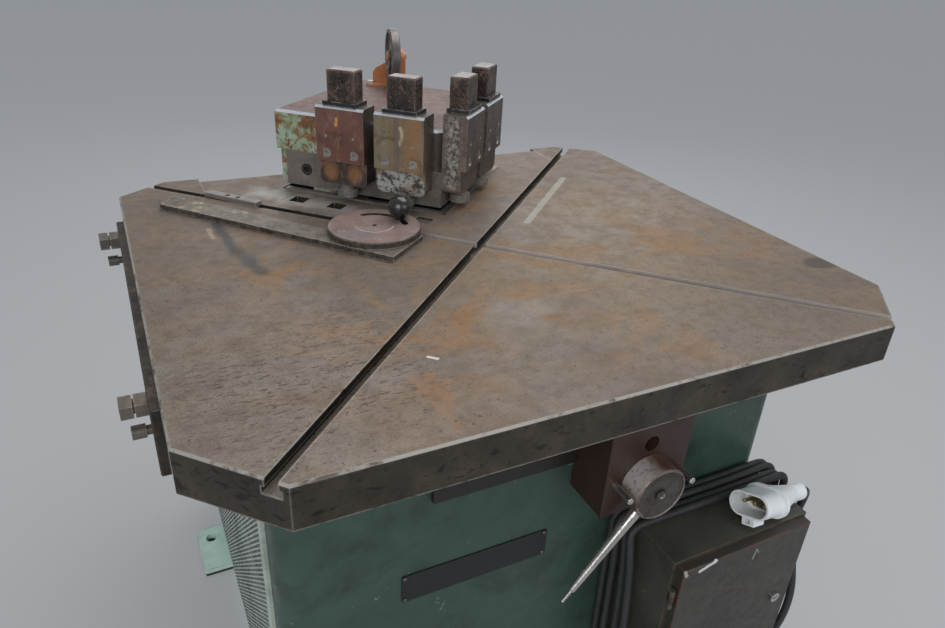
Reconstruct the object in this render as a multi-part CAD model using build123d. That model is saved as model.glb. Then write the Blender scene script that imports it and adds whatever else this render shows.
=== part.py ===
from build123d import *
import math
import os

# Hydraulic corner notcher, in millimetres, +Z up, origin on the floor under the middle of the table.
# The operator stands at -Y. The notch points at the operator, and both its edges run at 45 degrees to X.
# Pieces along those edges are drawn in a frame turned by 45 degrees: P runs back right, Q back left.

# Table
TABLE_TOP = 850.0
TABLE_THICK = 55.0
TABLE_HALF_X = 500.0
TABLE_HALF_Y = 450.0
FRONT_CORNER_X = 91.0
FRONT_CORNER_Y = 95.0
REAR_CORNER_X = 78.0
REAR_CORNER_Y = 60.0
TABLE_EDGE_BREAK = 2.5
SEAT_GAP = 0.3

# Tee slots
SLOT_AT = 9.5
SLOT_NECK = 15.0
SLOT_TEE = 22.0
SLOT_TEE_HIGH = 9.0
SLOT_DEPTH = 19.0

# Die bed and its square pockets
BED_THICK = 35.0
BED_END_X = 360.0
BED_REAR_Y = 430.0
POCKET_SIZE = 29.0
POCKET_P = 49.5
POCKET_STARTS = (203.0, 274.0, 348.0)
POCKET_DEPTH = 24.0
RECESS_Q = 112.0
RECESS_DEPTH = 5.0

# Notch edges and blades
EDGE_P = 100.0
SHEAR_GAP = 0.15
BLADE_LONG = 300.0
LOWER_BLADE_THICK = 12.5
LOWER_BLADE_PROUD = 2.5
LOWER_BLADE_PAST = 10.0
UPPER_BLADE_THICK = 25.0
UPPER_BLADE_TOP = 70.8
UPPER_BLADE_OPEN = 7.5
UPPER_BLADE_PAST = 2.0
BLADE_END_GAP = 8.0
BLADE_SCREW_HEAD_R = 11.0
BLADE_SCREW_HEAD = 11.0
BLADE_SCREW_R = 6.0
BLADE_SCREW_LONG = 45.0
BLADE_SCREW_COUNT = 4
BLADE_SCREW_ABOVE = 38.5
BLADE_SCREW_END = 39.0
BLADE_SOCKET = 12.0
BLADE_SOCKET_DEEP = 7.0

# Head
HEAD_SIDE = 320.0
HEAD_LOW = 71.0
HEAD_HIGH = 141.0
HEAD_EDGE_BREAK = 4.5
APEX_CUT = 12.0
CARRIER_WALL = 45.0
CARRIER_CLEAR = 11.0
CARRIER_LIP = 10.0
CARRIER_LIP_LOW = 14.0
CARRIER_LIP_BACK = 1.0
RAM_BLOCK_START = 290.0
RAM_BLOCK_END = 415.0
HEAD_STROKE = 6.5

# Guides and drive
COLUMN_X = 60.0
COLUMN_Y = 500.0
COLUMN_R = 16.0
COLUMN_SINK = 60.0
ROD_Y = 490.0
ROD_R = 20.0
RUN_GAP = 0.05
HOUSING_HALF_X = 92.0
HOUSING_REAR = 560.0
HOUSING_HIGH = 250.0
HOUSING_BELOW_TOP = 6.0
BUSH_WALL = 5.0
BUSH_LONG = 60.0
CYLINDER_R = 66.0
CYLINDER_BORE_R = 50.0
CYLINDER_LONG = 180.0
CYLINDER_CAP = 22.0
PISTON_THICK = 35.0
PISTON_PLAY = 2.0

# Hold-down units
UNIT_WIDE = 89.0
UNIT_PITCH = 108.0
LEFT_UNIT_START = 116.0
RIGHT_UNIT_START = 101.0
UNIT_BACK = 100.0
UNIT_FRONT = 65.5
UNIT_TOP = 169.5
UNIT_LOW = 34.0
FACE_PLATE_THICK = 9.0
FACE_PLATE_LOW = 76.5
FACE_SCREW_R = 8.0
FACE_SCREW_ABOVE = 90.0
FACE_SCREW_OFF = 25.5
FACE_SCREW_LONG = 18.0
FACE_SINK = 6.0
FACE_SOCKET = 8.0
FACE_SOCKET_DEEP = 4.0
FACE_CHAMFER = 4.0
PIN_HOLE_R = 2.5
PIN_HOLE_ABOVE = 119.5
PIN_PROUD = 0.6
UNIT_CORNER_R = 10.0
RAM_P = 81.5
RAM_HEAD_WIDE = 50.0
RAM_HEAD_DEEP = 31.0
RAM_HEAD_TOP = 227.0
RAM_POCKET_LOW = 148.0
RAM_ROD_R = 13.0
RAM_FOOT_R = 18.0
RAM_FOOT_LOW = 9.5
RAM_FOOT_HIGH = 24.5
COLLAR_HIGH = 7.5
COLLAR_FRONT = 58.5
COLLAR_WIDE = 62.0

# Handwheel on the head
WHEEL_X = 37.5
WHEEL_Y = 474.0
WHEEL_ABOVE = 206.0
WHEEL_R = 52.0
WHEEL_WIDE = 17.0
WHEEL_RIM = 8.0
WHEEL_HUB_R = 12.0
WHEEL_SPINDLE_R = 6.0
WHEEL_TURN = -12.0
WHEEL_SPOKES = 4
WHEEL_ARM = 4.0
WHEEL_ARM_LAP = 2.0
BRACKET_SHEET = 4.0
BRACKET_GAP = 5.0
CHEEK_THICK = 10.0
CHEEK_NOSE = 14.0
CHEEK_HIGH = 8.0
GUARD_CLEAR = 2.0
GUARD_HALF = 33.0
GUARD_TOP = ((33.0, -7.0), (2.0, -17.0), (-12.0, -24.0), (-26.0, -31.0), (-33.0, -41.0))
GUARD_FOOT = 20.0
GUARD_FOOT_LEFT = 46.0
GUARD_BOLTS = (-39.0, 4.0)
GUARD_BOLT_R = 4.0
GUARD_BOLT_HEAD_R = 7.0
GUARD_BOLT_HEAD = 5.0
GUARD_BOLT_LONG = 14.0
SPINDLE_HEAD_R = 9.0
SPINDLE_HEAD = 3.0

# Angle stop
STOP_X = -145.0
STOP_Y = 72.1
RULER_TURN = 130.7
RULER_LIFT = 0.3
RULER_THICK = 9.0
RULER_REACH = 376.0
RULER_FOOT_BACK = 73.5
RULER_FOOT_LONG = 113.0
RULER_FRONT = 72.5
RULER_WIDE = 42.0
FOOT_REAR = 25.0
DISC_R = 73.5
DISC_THICK = 11.0
PIVOT_R = 4.0
PIVOT_BELOW = 3.0
DISC_SLOT_R = 49.0
DISC_SLOT_WIDE = 10.4
DISC_SLOT_FROM = -12.0
DISC_SLOT_TO = 92.0
STUD_R = 4.0
DISC_SCREW_R = 5.5
DISC_SCREW_RING = 56.0
DISC_SCREW_ANGLES = (186.5, 219.0, 255.0)
KNOB_R = 19.3
KNOB_ABOVE = 41.0
KNOB_NECK_R = 8.0
KNOB_BORE = 18.0

# Stop bar in the slot
BAR_FROM = 241.0
BAR_LONG = 110.0
BAR_OFF = 14.0
BAR_WIDE = 16.0
BAR_THICK = 8.0
BAR_SCREW_R = 3.0
BAR_SCREW_HEAD_R = 4.8
BAR_SCREW_HEAD = 5.0
BAR_SCREW_BELOW = 1.0
BAR_SOCKET = 4.6
BAR_SOCKET_DEEP = 3.0
BAR_SCREWS = (44.0, 65.5)
TEE_NUT_LONG = 18.0
TEE_NUT_PLAY = 1.5

# Side bar
SIDE_BAR_LONG = 560.0
SIDE_BAR_THICK = 11.0
SIDE_BAR_TOP = 5.0
SIDE_BAR_LOW = 90.0
SIDE_BOLT_Y = 240.0
SIDE_BOLT_BELOW = 20.0
SIDE_BOLT_R = 8.0
SIDE_BOLT_OUT = 16.0
SIDE_BOLT_FLATS = 25.0
SIDE_BOLT_HEAD = 12.0
SIDE_NUT = 13.0
SIDE_CAP_BELOW = 54.0
SIDE_CAP_R = 8.0
SIDE_CAP_HEAD = 15.0
SIDE_CAP_OUT = 6.0
SIDE_CAP_SOCKET = 8.0
SIDE_CAP_SOCKET_DEEP = 7.0
SIDE_CAP_SHANK_R = 5.5
SIDE_SINK = 16.0

# Cabinet
CABINET_HALF_X = 407.0
CABINET_FRONT = -303.0
CABINET_REAR = 566.0
CABINET_WALL = 4.0
CABINET_CORNER_R = 28.0
CABINET_DECK = 8.0
DECK_IN = 48.0
BASE_THICK = 20.0
LUG_OUT = 62.0
LUG_WIDE = 128.0
LUG_THICK = 12.0
LUG_LIFT = 8.0
LUG_HOLE_R = 11.0
LUG_HOLE_OUT = 34.0
LUG_REAR_Y = 362.0
LUG_FRONT_Y = -200.0
LUG_HOLE_OFF = 30.0
PANEL_PROUD = 7.0
PANEL_SHEET = 2.0
PANEL_FRONT = -250.0
PANEL_REAR = 500.0
PANEL_LOW = 60.0
PANEL_HIGH = 780.0
PANEL_LAP = 25.0
PANEL_SLOT_LONG = 62.0
PANEL_SLOT_WIDE = 9.0
PANEL_ROWS = 11
PANEL_COLUMNS = 9
REAR_COVER_HALF_X = 300.0
REAR_COVER_LOW = 90.0
REAR_COVER_HIGH = 560.0
REAR_COVER_SHEET = 3.0

# Front of the cabinet
RAIL_LEFT = -203.0
RAIL_RIGHT = 16.0
RAIL_LOW = 215.0
RAIL_THICK = 8.0
PLATE_LEFT = -244.0
PLATE_RIGHT = -14.0
PLATE_TOP = 337.0
PLATE_LOW = 386.0
PLATE_THICK = 2.0
BRACKET_LEFT = 17.0
BRACKET_RIGHT = 153.0
BRACKET_LOW = 262.0
BRACKET_DEEP = 77.0
BRACKET_BORE_R = 12.0
BRACKET_BORE_BELOW = 153.0
BRACKET_BORE_DEEP = 40.0
HUB_X = 84.0
HUB_BELOW = 214.0
HUB_R = 41.0
HUB_THICK = 35.0
HUB_STAND_OFF = 0.5
HUB_SPINDLE_R = 10.0
HUB_SPINDLE_LONG = 50.0
HUB_RIM = 3.0
HUB_DISH = 1.5
LEVER_ANGLE = 231.5
LEVER_REACH = 205.0
LEVER_ROOT_R = 8.5
LEVER_TIP_R = 5.0
LEVER_PIN_R = 2.5
LEVER_PIN_LONG = 20.0
LEVER_SINK = 14.0
LEVER_AT = 20.0
STOP_STUD_OFF = 52.0
STOP_STUD_UP = 7.0
STOP_STUD_R = 5.0
STOP_STUD_LONG = 36.0
STOP_STUD_SINK = 20.0

# Switch box
BOX_LEFT = 124.0
BOX_RIGHT = 389.0
BOX_TOP = 345.0
BOX_HIGH = 310.0
BOX_DEEP = 127.0
BOX_SHEET = 2.0
BOX_LIP = 12.0
DOOR_IN = 5.0
DOOR_SIDE_IN = 7.0
DOOR_GAP = 0.6
DOOR_DEEP = 15.0
DOOR_SHEET = 2.0
HINGE_R = 2.5
HINGE_EYE_R = 4.5
HINGE_EYE_LONG = 18.0
HINGE_EAR_LONG = 8.0
HINGE_OFF = 5.6
HINGE_IN = 60.0
LOCK_IN = 32.0
LOCK_R = 9.0
LOCK_HEAD = 4.0
LOCK_SHAFT_R = 5.0
CAM_REACH = 30.0
CAM_WIDE = 12.0
CAM_THICK = 2.0
GEAR_RAIL = 35.0
GEAR_IN = 30.0
GEAR_ROWS = ((395.0, 85.0, 80.0), (535.0, 60.0, 60.0))
GEAR_COUNT = 4
GEAR_PLAY = 2.0
GEAR_RAIL_DEEP = 8.0

# Supply cable
CABLE_R = 6.35
COIL_LEFT = 99.0
COIL_RIGHT = 415.0
COIL_LOW = 757.0
COIL_THICK = 20.0
COIL_REAR_Y = -307.0
COIL_FRONT_Y = -402.0
COIL_TOP_FRONT_Y = -364.0
COIL_CORNER_R = 34.0
COIL_CUT_IN = 6.0
GLAND_X = 250.0
GLAND_Y = -352.0
GLAND_R = 13.0
GLAND_LONG = 30.0
GLAND_THREAD_R = 9.0
GLAND_NUT_R = 16.0
GLAND_NUT_BELOW = 12.0
GLAND_NUT_HIGH = 8.0
PLUG_MOUTH_X = 275.0
PLUG_Y = -409.0
PLUG_YAW = 5.0
PLUG_ROLL = -21.0
PLUG_EASE = 6.0
PLUG_LONG = 132.0
PLUG_SHELL_WIDE = 68.0
PLUG_SHELL_HIGH = 39.0
PLUG_SHELL_LONG = 42.0
PLUG_WALL = 3.0
PLUG_FLANGE = 4.0
PLUG_FLANGE_LONG = 7.0
PLUG_COLLAR_R = 14.0
PLUG_COLLAR_LONG = 24.0
PLUG_PIN_R = 3.0
PLUG_PIN_LONG = 26.0
PLUG_PIN_PITCH = 18.0
PLUG_KEY_WIDE = 20.0
PLUG_KEY_HIGH = 12.0
PLUG_KEY_LONG = 26.0
PLUG_KEY_HOLE_R = 4.0

# Inside the cabinet
TANK_IN = 17.0
TANK_LEFT = TANK_IN - CABINET_HALF_X
TANK_RIGHT = -160.0
TANK_FRONT = -270.0
TANK_REAR = 130.0
TANK_HIGH = 300.0
TANK_LID = 6.0
TANK_LAP = 8.0
TANK_CAP_R = 24.0
TANK_CAP_HIGH = 45.0
TANK_CAP_IN = 40.0
MOTOR_R = 66.0
MOTOR_LONG = 190.0
MOTOR_FINS = 12
MOTOR_FIN = 6.0
MOTOR_FEET = 20.0
MOTOR_IN = 10.0
MOTOR_FOOT_IN = 6.0
FIN_HALF = 1.5
BELL_R = 46.0
BELL_LONG = 40.0
PUMP_SIDE = 84.0
PUMP_LONG = 70.0
PUMP_LEG = 30.0
VALVE_LONG = 110.0
VALVE_SIDE = 70.0
VALVE_Y = 60.0
VALVE_IN = 6.0
VALVE_PORTS = (0.3, 0.7)
SOLENOID_R = 18.0
SOLENOID_LONG = 50.0
PIPE_R = 7.0
PIPE_BEND = 40.0
PIPE_PITCH = 40.0
PIPE_IN = 18.0
PIPE_RUN = 12.0
PIPE_RISE = 60.0
BEND_SHARE = 0.45
CHUTE_SHEET = 3.0
CHUTE_DROP = 240.0
CHUTE_FLANGE = 8.0
HOLE_EDGE = 104.0
HOLE_END = 290.0


def block(x, y, z):
    centre = Pos((x[0] + x[1]) / 2, (y[0] + y[1]) / 2, (z[0] + z[1]) / 2)
    return centre * Box(x[1] - x[0], y[1] - y[0], z[1] - z[0])


def upright(x, y, z, radius):
    return Pos(x, y, (z[0] + z[1]) / 2) * Cylinder(radius, z[1] - z[0])


def along_x(x, y, z, radius):
    return Pos((x[0] + x[1]) / 2, y, z) * Rot(0, 90, 0) * Cylinder(radius, x[1] - x[0])


def along_y(x, y, z, radius):
    return Pos(x, (y[0] + y[1]) / 2, z) * Rot(90, 0, 0) * Cylinder(radius, y[1] - y[0])


def above(low, high):
    return (TABLE_TOP + low, TABLE_TOP + high)


def turned(shape):
    return shape.rotate(Axis.Z, 45)


def mirrored(shape):
    return mirror(shape, about=Plane.YZ)


def slab(points, z):
    face = make_face(Polyline(*points, close=True))
    return Pos(0, 0, z[0]) * extrude(face, z[1] - z[0])


def write(name, *shapes):
    solids = []
    for shape in shapes:
        solids.extend(shape.solids())
    body = solids[0] if len(solids) == 1 else Compound(children=solids)
    export_step(body, f"parts/{name}.step")


SLOT_EDGE = SLOT_AT - SLOT_NECK / 2
BED_EDGE = -SLOT_EDGE
FACE_FRONT = UNIT_FRONT - FACE_PLATE_THICK
LOWER_BLADE_BACK = EDGE_P - SHEAR_GAP
LOWER_BLADE_FRONT = LOWER_BLADE_BACK - LOWER_BLADE_THICK
UPPER_BLADE_FRONT = EDGE_P + SHEAR_GAP
UPPER_BLADE_BACK = UPPER_BLADE_FRONT + UPPER_BLADE_THICK
BLADE_END = EDGE_P + BLADE_LONG


def tee_slots():
    far = 900.0
    neck = block((-far, far), (-SLOT_AT - SLOT_NECK / 2, -SLOT_AT + SLOT_NECK / 2), above(-SLOT_DEPTH, 1))
    tee_top = SLOT_TEE_HIGH - SLOT_DEPTH
    tee = block((-far, far), (-SLOT_AT - SLOT_TEE / 2, -SLOT_AT + SLOT_TEE / 2), above(-SLOT_DEPTH, tee_top))
    one = neck + tee
    other = one.rotate(Axis.Z, 90).mirror(Plane.YZ)
    return turned(one + other)


def bed_region(grow, low, high):
    far = 900.0
    edge = BED_EDGE - grow
    corner = turned(block((edge, far), (edge, far), above(low, high)))
    reach = BED_END_X + grow
    return corner & block((-reach, reach), (-far, BED_REAR_Y + (grow and far)), above(low, high))


def table():
    x, y = TABLE_HALF_X, TABLE_HALF_Y
    points = [
        (-x + FRONT_CORNER_X, -y), (x - FRONT_CORNER_X, -y), (x, -y + FRONT_CORNER_Y), (x, y - REAR_CORNER_Y),
        (x - REAR_CORNER_X, y), (-x + REAR_CORNER_X, y), (-x, y - REAR_CORNER_Y), (-x, -y + FRONT_CORNER_Y),
    ]
    top = slab(points, above(-TABLE_THICK, 0))
    top = chamfer(top.edges().group_by(Axis.Z)[-1], TABLE_EDGE_BREAK)
    top -= bed_region(SEAT_GAP, -BED_THICK, 1)
    top -= turned(block((HOLE_EDGE, HOLE_END), (HOLE_EDGE, HOLE_END), above(-TABLE_THICK - 1, 0)))
    top -= tee_slots()
    top -= upright(STOP_X, STOP_Y, above(-PIVOT_SINK, 1), PIVOT_R)
    for y_bolt in (-SIDE_BOLT_Y, SIDE_BOLT_Y):
        x_hole = (-TABLE_HALF_X - 1, -TABLE_HALF_X + SIDE_SINK)
        top -= along_x(x_hole, y_bolt, TABLE_TOP - SIDE_BOLT_BELOW, SIDE_BOLT_R)
    return top


def die_bed():
    bed = bed_region(0, -BED_THICK, 0)
    far = BLADE_END + BLADE_END_GAP
    bed -= turned(block((LOWER_BLADE_FRONT, far), (LOWER_BLADE_FRONT, far), above(-BED_THICK - 1, 1)))
    bed -= tee_slots()
    half = POCKET_SIZE / 2
    pockets = None
    for q in POCKET_STARTS:
        cut = block((POCKET_P - half, POCKET_P + half), (q - half, q + half), above(-POCKET_DEPTH, 1))
        pockets = cut if pockets is None else pockets + cut
    across = (POCKET_P - half, POCKET_P + half)
    recess = block(across, (RECESS_Q - half, RECESS_Q + half), above(-RECESS_DEPTH, 1))
    return bed - turned(pockets + recess)


def lower_blade(start):
    low = -BED_THICK
    bar = block((LOWER_BLADE_FRONT, LOWER_BLADE_BACK), (start, BLADE_END), above(low, LOWER_BLADE_PROUD))
    return turned(bar)


def blade_screw_places():
    first = EDGE_P + BLADE_SCREW_END
    last = BLADE_END - BLADE_SCREW_END
    step = (last - first) / (BLADE_SCREW_COUNT - 1)
    return [first + step * n for n in range(BLADE_SCREW_COUNT)]


def blade_screw(q, grow):
    z = TABLE_TOP + BLADE_SCREW_ABOVE
    head_x = (UPPER_BLADE_FRONT + (0 if grow else 1), UPPER_BLADE_FRONT + BLADE_SCREW_HEAD)
    head = along_x((head_x[0] - (1 if grow else 0), head_x[1]), q, z, BLADE_SCREW_HEAD_R + grow)
    shank = along_x((head_x[1] - 1, head_x[1] + BLADE_SCREW_LONG), q, z, BLADE_SCREW_R)
    if not grow:
        head -= hexagon((head_x[0] - 1, head_x[0] + BLADE_SOCKET_DEEP), q, z, BLADE_SOCKET)
    return head + shank


def upper_blade(start):
    z = above(UPPER_BLADE_OPEN, UPPER_BLADE_TOP)
    bar = block((UPPER_BLADE_FRONT, UPPER_BLADE_BACK), (start, BLADE_END + UPPER_BLADE_PAST), z)
    for q in blade_screw_places():
        bar -= blade_screw(q, SEAT_GAP)
    return turned(bar)


def head_casting():
    near, far = EDGE_P, EDGE_P + HEAD_SIDE
    cap = block((near, far), (near, far), above(HEAD_LOW, HEAD_HIGH))
    apex = cap.edges().filter_by(Axis.Z).sort_by(lambda e: e.center().X + e.center().Y)[0]
    cap = chamfer(apex, APEX_CUT)
    cap = chamfer(cap.edges().group_by(Axis.Z)[-1], HEAD_EDGE_BREAK)
    low = above(CARRIER_CLEAR, HEAD_LOW)
    wall = (UPPER_BLADE_BACK, UPPER_BLADE_BACK + CARRIER_WALL)
    lip_start = BLADE_END + UPPER_BLADE_PAST + SEAT_GAP
    end = lip_start + CARRIER_LIP
    left = block(wall, (UPPER_BLADE_BACK, end), low)
    right = block((UPPER_BLADE_BACK, end), wall, low)
    lip = (UPPER_BLADE_FRONT + CARRIER_LIP_BACK, UPPER_BLADE_BACK + 1)
    left += block(lip, (lip_start, end), above(CARRIER_LIP_LOW, HEAD_LOW))
    right += block((lip_start, end), lip, above(CARRIER_LIP_LOW, HEAD_LOW))
    ram = block((RAM_BLOCK_START, RAM_BLOCK_END), (RAM_BLOCK_START, RAM_BLOCK_END), low)
    head = cap + left + right + ram
    for q in blade_screw_places():
        hole = blade_screw(q, 0)
        head -= hole
        head -= mirror(hole, about=Plane.YZ).rotate(Axis.Z, -90)
    head = turned(head)
    for x in (-COLUMN_X, COLUMN_X):
        head -= upright(x, COLUMN_Y, above(0, CARRIER_CLEAR + COLUMN_SINK), COLUMN_R)
    head -= upright(0, ROD_Y, above(0, CARRIER_CLEAR + COLUMN_SINK), ROD_R)
    for bolt in bracket_bolts():
        head -= bolt
    return head


def unit_centre(start):
    return start + UNIT_WIDE / 2


def unit_block(start):
    q = unit_centre(start)
    body = block((UNIT_FRONT, UNIT_BACK), (start, start + UNIT_WIDE), above(UNIT_LOW, UNIT_TOP))
    corner = body.edges().filter_by(Axis.X).group_by(Axis.Z)[0]
    body = fillet(corner, UNIT_CORNER_R)
    wide = RAM_HEAD_WIDE / 2 + SEAT_GAP
    back = RAM_P + RAM_HEAD_DEEP / 2 + SEAT_GAP
    body -= block((UNIT_FRONT - 1, back), (q - wide, q + wide), above(RAM_POCKET_LOW, UNIT_TOP + 1))
    body -= upright(RAM_P, q, above(0, UNIT_TOP), RAM_ROD_R + RUN_GAP)
    z = TABLE_TOP + FACE_SCREW_ABOVE
    for side in (-1, 1):
        body -= along_x((UNIT_FRONT - 1, face_screw_end()), q + side * FACE_SCREW_OFF, z, FACE_SCREW_R / 2)
    return body


def face_screw_end():
    return FACE_FRONT + FACE_SCREW_LONG


def face_plate(start):
    q = unit_centre(start)
    plate = block((FACE_FRONT, UNIT_FRONT), (start, start + UNIT_WIDE), above(FACE_PLATE_LOW, UNIT_TOP))
    plate = chamfer(plate.edges().group_by(Axis.Z)[-1].sort_by(Axis.X)[0], FACE_CHAMFER)
    z = TABLE_TOP + FACE_SCREW_ABOVE
    sunk = (FACE_FRONT - 1, FACE_FRONT + FACE_SINK)
    for side in (-1, 1):
        plate -= along_x(sunk, q + side * FACE_SCREW_OFF, z, FACE_SCREW_R)
        plate -= along_x((FACE_FRONT, UNIT_FRONT + 1), q + side * FACE_SCREW_OFF, z, FACE_SCREW_R / 2)
        hole_z = TABLE_TOP + PIN_HOLE_ABOVE
        plate -= along_x(sunk, q + side * FACE_SCREW_OFF, hole_z, PIN_HOLE_R)
    return plate


def face_screws(start):
    q = unit_centre(start)
    z = TABLE_TOP + FACE_SCREW_ABOVE
    made = []
    for side in (-1, 1):
        at = q + side * FACE_SCREW_OFF
        head = along_x((FACE_FRONT + 1, FACE_FRONT + FACE_SINK), at, z, FACE_SCREW_R - SEAT_GAP)
        shank = along_x((FACE_FRONT + FACE_SINK - 1, face_screw_end()), at, z, FACE_SCREW_R / 2)
        head -= hexagon((FACE_FRONT, FACE_FRONT + 1 + FACE_SOCKET_DEEP), at, z, FACE_SOCKET)
        made.append(head + shank)
        pin_x = (FACE_FRONT - PIN_PROUD, FACE_FRONT + FACE_SINK)
        made.append(along_x(pin_x, at, TABLE_TOP + PIN_HOLE_ABOVE, PIN_HOLE_R - SEAT_GAP))
    return made


def collar(start):
    q = unit_centre(start)
    half = COLLAR_WIDE / 2
    ring = block((COLLAR_FRONT, UNIT_BACK), (q - half, q + half), above(UNIT_TOP, UNIT_TOP + COLLAR_HIGH))
    wide = RAM_HEAD_WIDE / 2 + SEAT_GAP
    deep = RAM_HEAD_DEEP / 2 + SEAT_GAP
    window = above(UNIT_TOP - 1, UNIT_TOP + COLLAR_HIGH + 1)
    return ring - block((RAM_P - deep, RAM_P + deep), (q - wide, q + wide), window)


def ram(start):
    q = unit_centre(start)
    wide, deep = RAM_HEAD_WIDE / 2, RAM_HEAD_DEEP / 2
    low = RAM_POCKET_LOW + SEAT_GAP
    head = block((RAM_P - deep, RAM_P + deep), (q - wide, q + wide), above(low, RAM_HEAD_TOP))
    head = chamfer(head.edges().group_by(Axis.Z)[-1], 2)
    stem = upright(RAM_P, q, above(RAM_FOOT_HIGH - 1, low + 1), RAM_ROD_R)
    foot = upright(RAM_P, q, above(RAM_FOOT_LOW, RAM_FOOT_HIGH), RAM_FOOT_R)
    foot = chamfer(foot.edges().group_by(Axis.Z)[0], 2)
    return head + stem + foot


def units():
    blocks, plates, screws, collars, rams = [], [], [], [], []
    for side, first in ((0, LEFT_UNIT_START), (1, RIGHT_UNIT_START)):
        for n in (1, 0):
            start = first + n * UNIT_PITCH
            pieces = [unit_block(start), face_plate(start), collar(start), ram(start)] + face_screws(start)
            pieces = [turned(piece) for piece in pieces]
            if side:
                pieces = [mirrored(piece) for piece in pieces]
            blocks.append(pieces[0])
            plates.append(pieces[1])
            collars.append(pieces[2])
            rams.append(pieces[3])
            screws.extend(pieces[4:])
    return blocks, plates, screws, collars, rams


def wheel_frame(shape):
    return Pos(WHEEL_X, WHEEL_Y, TABLE_TOP + WHEEL_ABOVE) * Rot(0, 0, WHEEL_TURN) * shape


def handwheel():
    half = WHEEL_WIDE / 2
    rim = along_x((-half, half), 0, 0, WHEEL_R) - along_x((-half - 1, half + 1), 0, 0, WHEEL_R - WHEEL_RIM)
    rim = chamfer(rim.edges().filter_by(GeomType.CIRCLE).sort_by(lambda e: e.radius)[-2:], 2)
    wheel = rim + along_x((-half, half), 0, 0, WHEEL_HUB_R)
    for n in range(WHEEL_SPOKES):
        run = (WHEEL_HUB_R - WHEEL_ARM_LAP, WHEEL_R - WHEEL_RIM + WHEEL_ARM_LAP)
        arm = block((-WHEEL_ARM, WHEEL_ARM), (-WHEEL_ARM, WHEEL_ARM), run)
        wheel += arm.rotate(Axis.X, 45 + n * 360 / WHEEL_SPOKES)
    wheel -= along_x((-half - 1, half + 1), 0, 0, WHEEL_SPINDLE_R + RUN_GAP)
    return wheel_frame(wheel)


# The bracket of the wheel: one cheek that carries the spindle, a guard plate behind the wheel, and a foot
def wheel_bracket():
    low = HEAD_HIGH - WHEEL_ABOVE
    inner = WHEEL_WIDE / 2 + BRACKET_GAP
    outer = inner + CHEEK_THICK
    rear = WHEEL_R + GUARD_CLEAR
    back = rear + BRACKET_SHEET
    cheek = block((inner, outer), (-CHEEK_NOSE, back), (low, CHEEK_HIGH))
    nose = cheek.edges().filter_by(Axis.X).sort_by(lambda e: e.center().Z - e.center().Y)[-1]
    cheek = fillet(nose, CHEEK_NOSE)
    outline = [(-GUARD_HALF, low), (GUARD_HALF, low)] + list(GUARD_TOP)
    guard = Rot(90, 0, 0) * slab(outline, (-back, -rear))
    foot = block((-GUARD_FOOT_LEFT, outer), (rear - GUARD_FOOT, back), (low, low + BRACKET_SHEET))
    end = -WHEEL_WIDE / 2 - SEAT_GAP
    spindle = along_x((end - SPINDLE_HEAD, outer + 3), 0, 0, WHEEL_SPINDLE_R)
    spindle += along_x((end - SPINDLE_HEAD, end), 0, 0, SPINDLE_HEAD_R)
    bracket = wheel_frame(cheek + guard + foot + spindle)
    for bolt in bracket_bolts():
        bracket -= bolt
    return bracket


def bracket_bolts():
    low = HEAD_HIGH - WHEEL_ABOVE
    y = WHEEL_R + GUARD_CLEAR - GUARD_FOOT / 2
    made = []
    for x in GUARD_BOLTS:
        shank = upright(x, y, (low - GUARD_BOLT_LONG, low + BRACKET_SHEET + 1), GUARD_BOLT_R)
        head = Pos(x, y, low + BRACKET_SHEET) * extrude(RegularPolygon(GUARD_BOLT_HEAD_R, 6), GUARD_BOLT_HEAD)
        made.append(wheel_frame(shank + head))
    return made


def ruler_frame(shape):
    return Pos(STOP_X, STOP_Y, TABLE_TOP + RULER_LIFT) * Rot(0, 0, RULER_TURN) * shape


PIVOT_SINK = 30.0
DISC_LOW = RULER_THICK
DISC_HIGH = RULER_THICK + DISC_THICK


# The clamp stud stands in the cross slot, where the arc slot of the disc passes over it
def stud_place():
    reach = -SLOT_AT - (STOP_X + STOP_Y) / math.sqrt(2)
    angle = math.asin(reach / DISC_SLOT_R) - math.pi / 4
    return STOP_X + DISC_SLOT_R * math.cos(angle), STOP_Y + DISC_SLOT_R * math.sin(angle)


def ruler():
    points = [
        (-RULER_FOOT_BACK, RULER_FRONT), (RULER_REACH - 6, RULER_FRONT),
        (RULER_REACH, RULER_FRONT - RULER_WIDE),
        (RULER_FOOT_LONG - RULER_FOOT_BACK, RULER_FRONT - RULER_WIDE),
        (RULER_FOOT_LONG - RULER_FOOT_BACK, -FOOT_REAR), (-RULER_FOOT_BACK, -FOOT_REAR),
    ]
    bar = slab(points, (0, RULER_THICK))
    bar -= upright(0, 0, (-1, RULER_THICK + 1), PIVOT_R + RUN_GAP)
    bar = ruler_frame(bar)
    for screw in disc_screws():
        bar -= screw
    return bar


def disc_screws():
    made = []
    for angle in DISC_SCREW_ANGLES:
        x = STOP_X + DISC_SCREW_RING * math.cos(math.radians(angle))
        y = STOP_Y + DISC_SCREW_RING * math.sin(math.radians(angle))
        top = TABLE_TOP + RULER_LIFT + DISC_HIGH
        shank = upright(x, y, (top - DISC_THICK - 6, top - 4), DISC_SCREW_R / 2)
        cone = Pos(x, y, top - 2.5) * Cone(DISC_SCREW_R / 2, DISC_SCREW_R, 4)
        made.append(shank + cone)
    return made


def arc_slot(radius, width, start, end, z):
    arc = CenterArc((0, 0), radius, start, end - start)
    lane = trace(arc, width)
    lane += Pos(arc @ 0) * Circle(width / 2)
    lane += Pos(arc @ 1) * Circle(width / 2)
    return Pos(0, 0, z[0]) * extrude(lane, z[1] - z[0])


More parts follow.
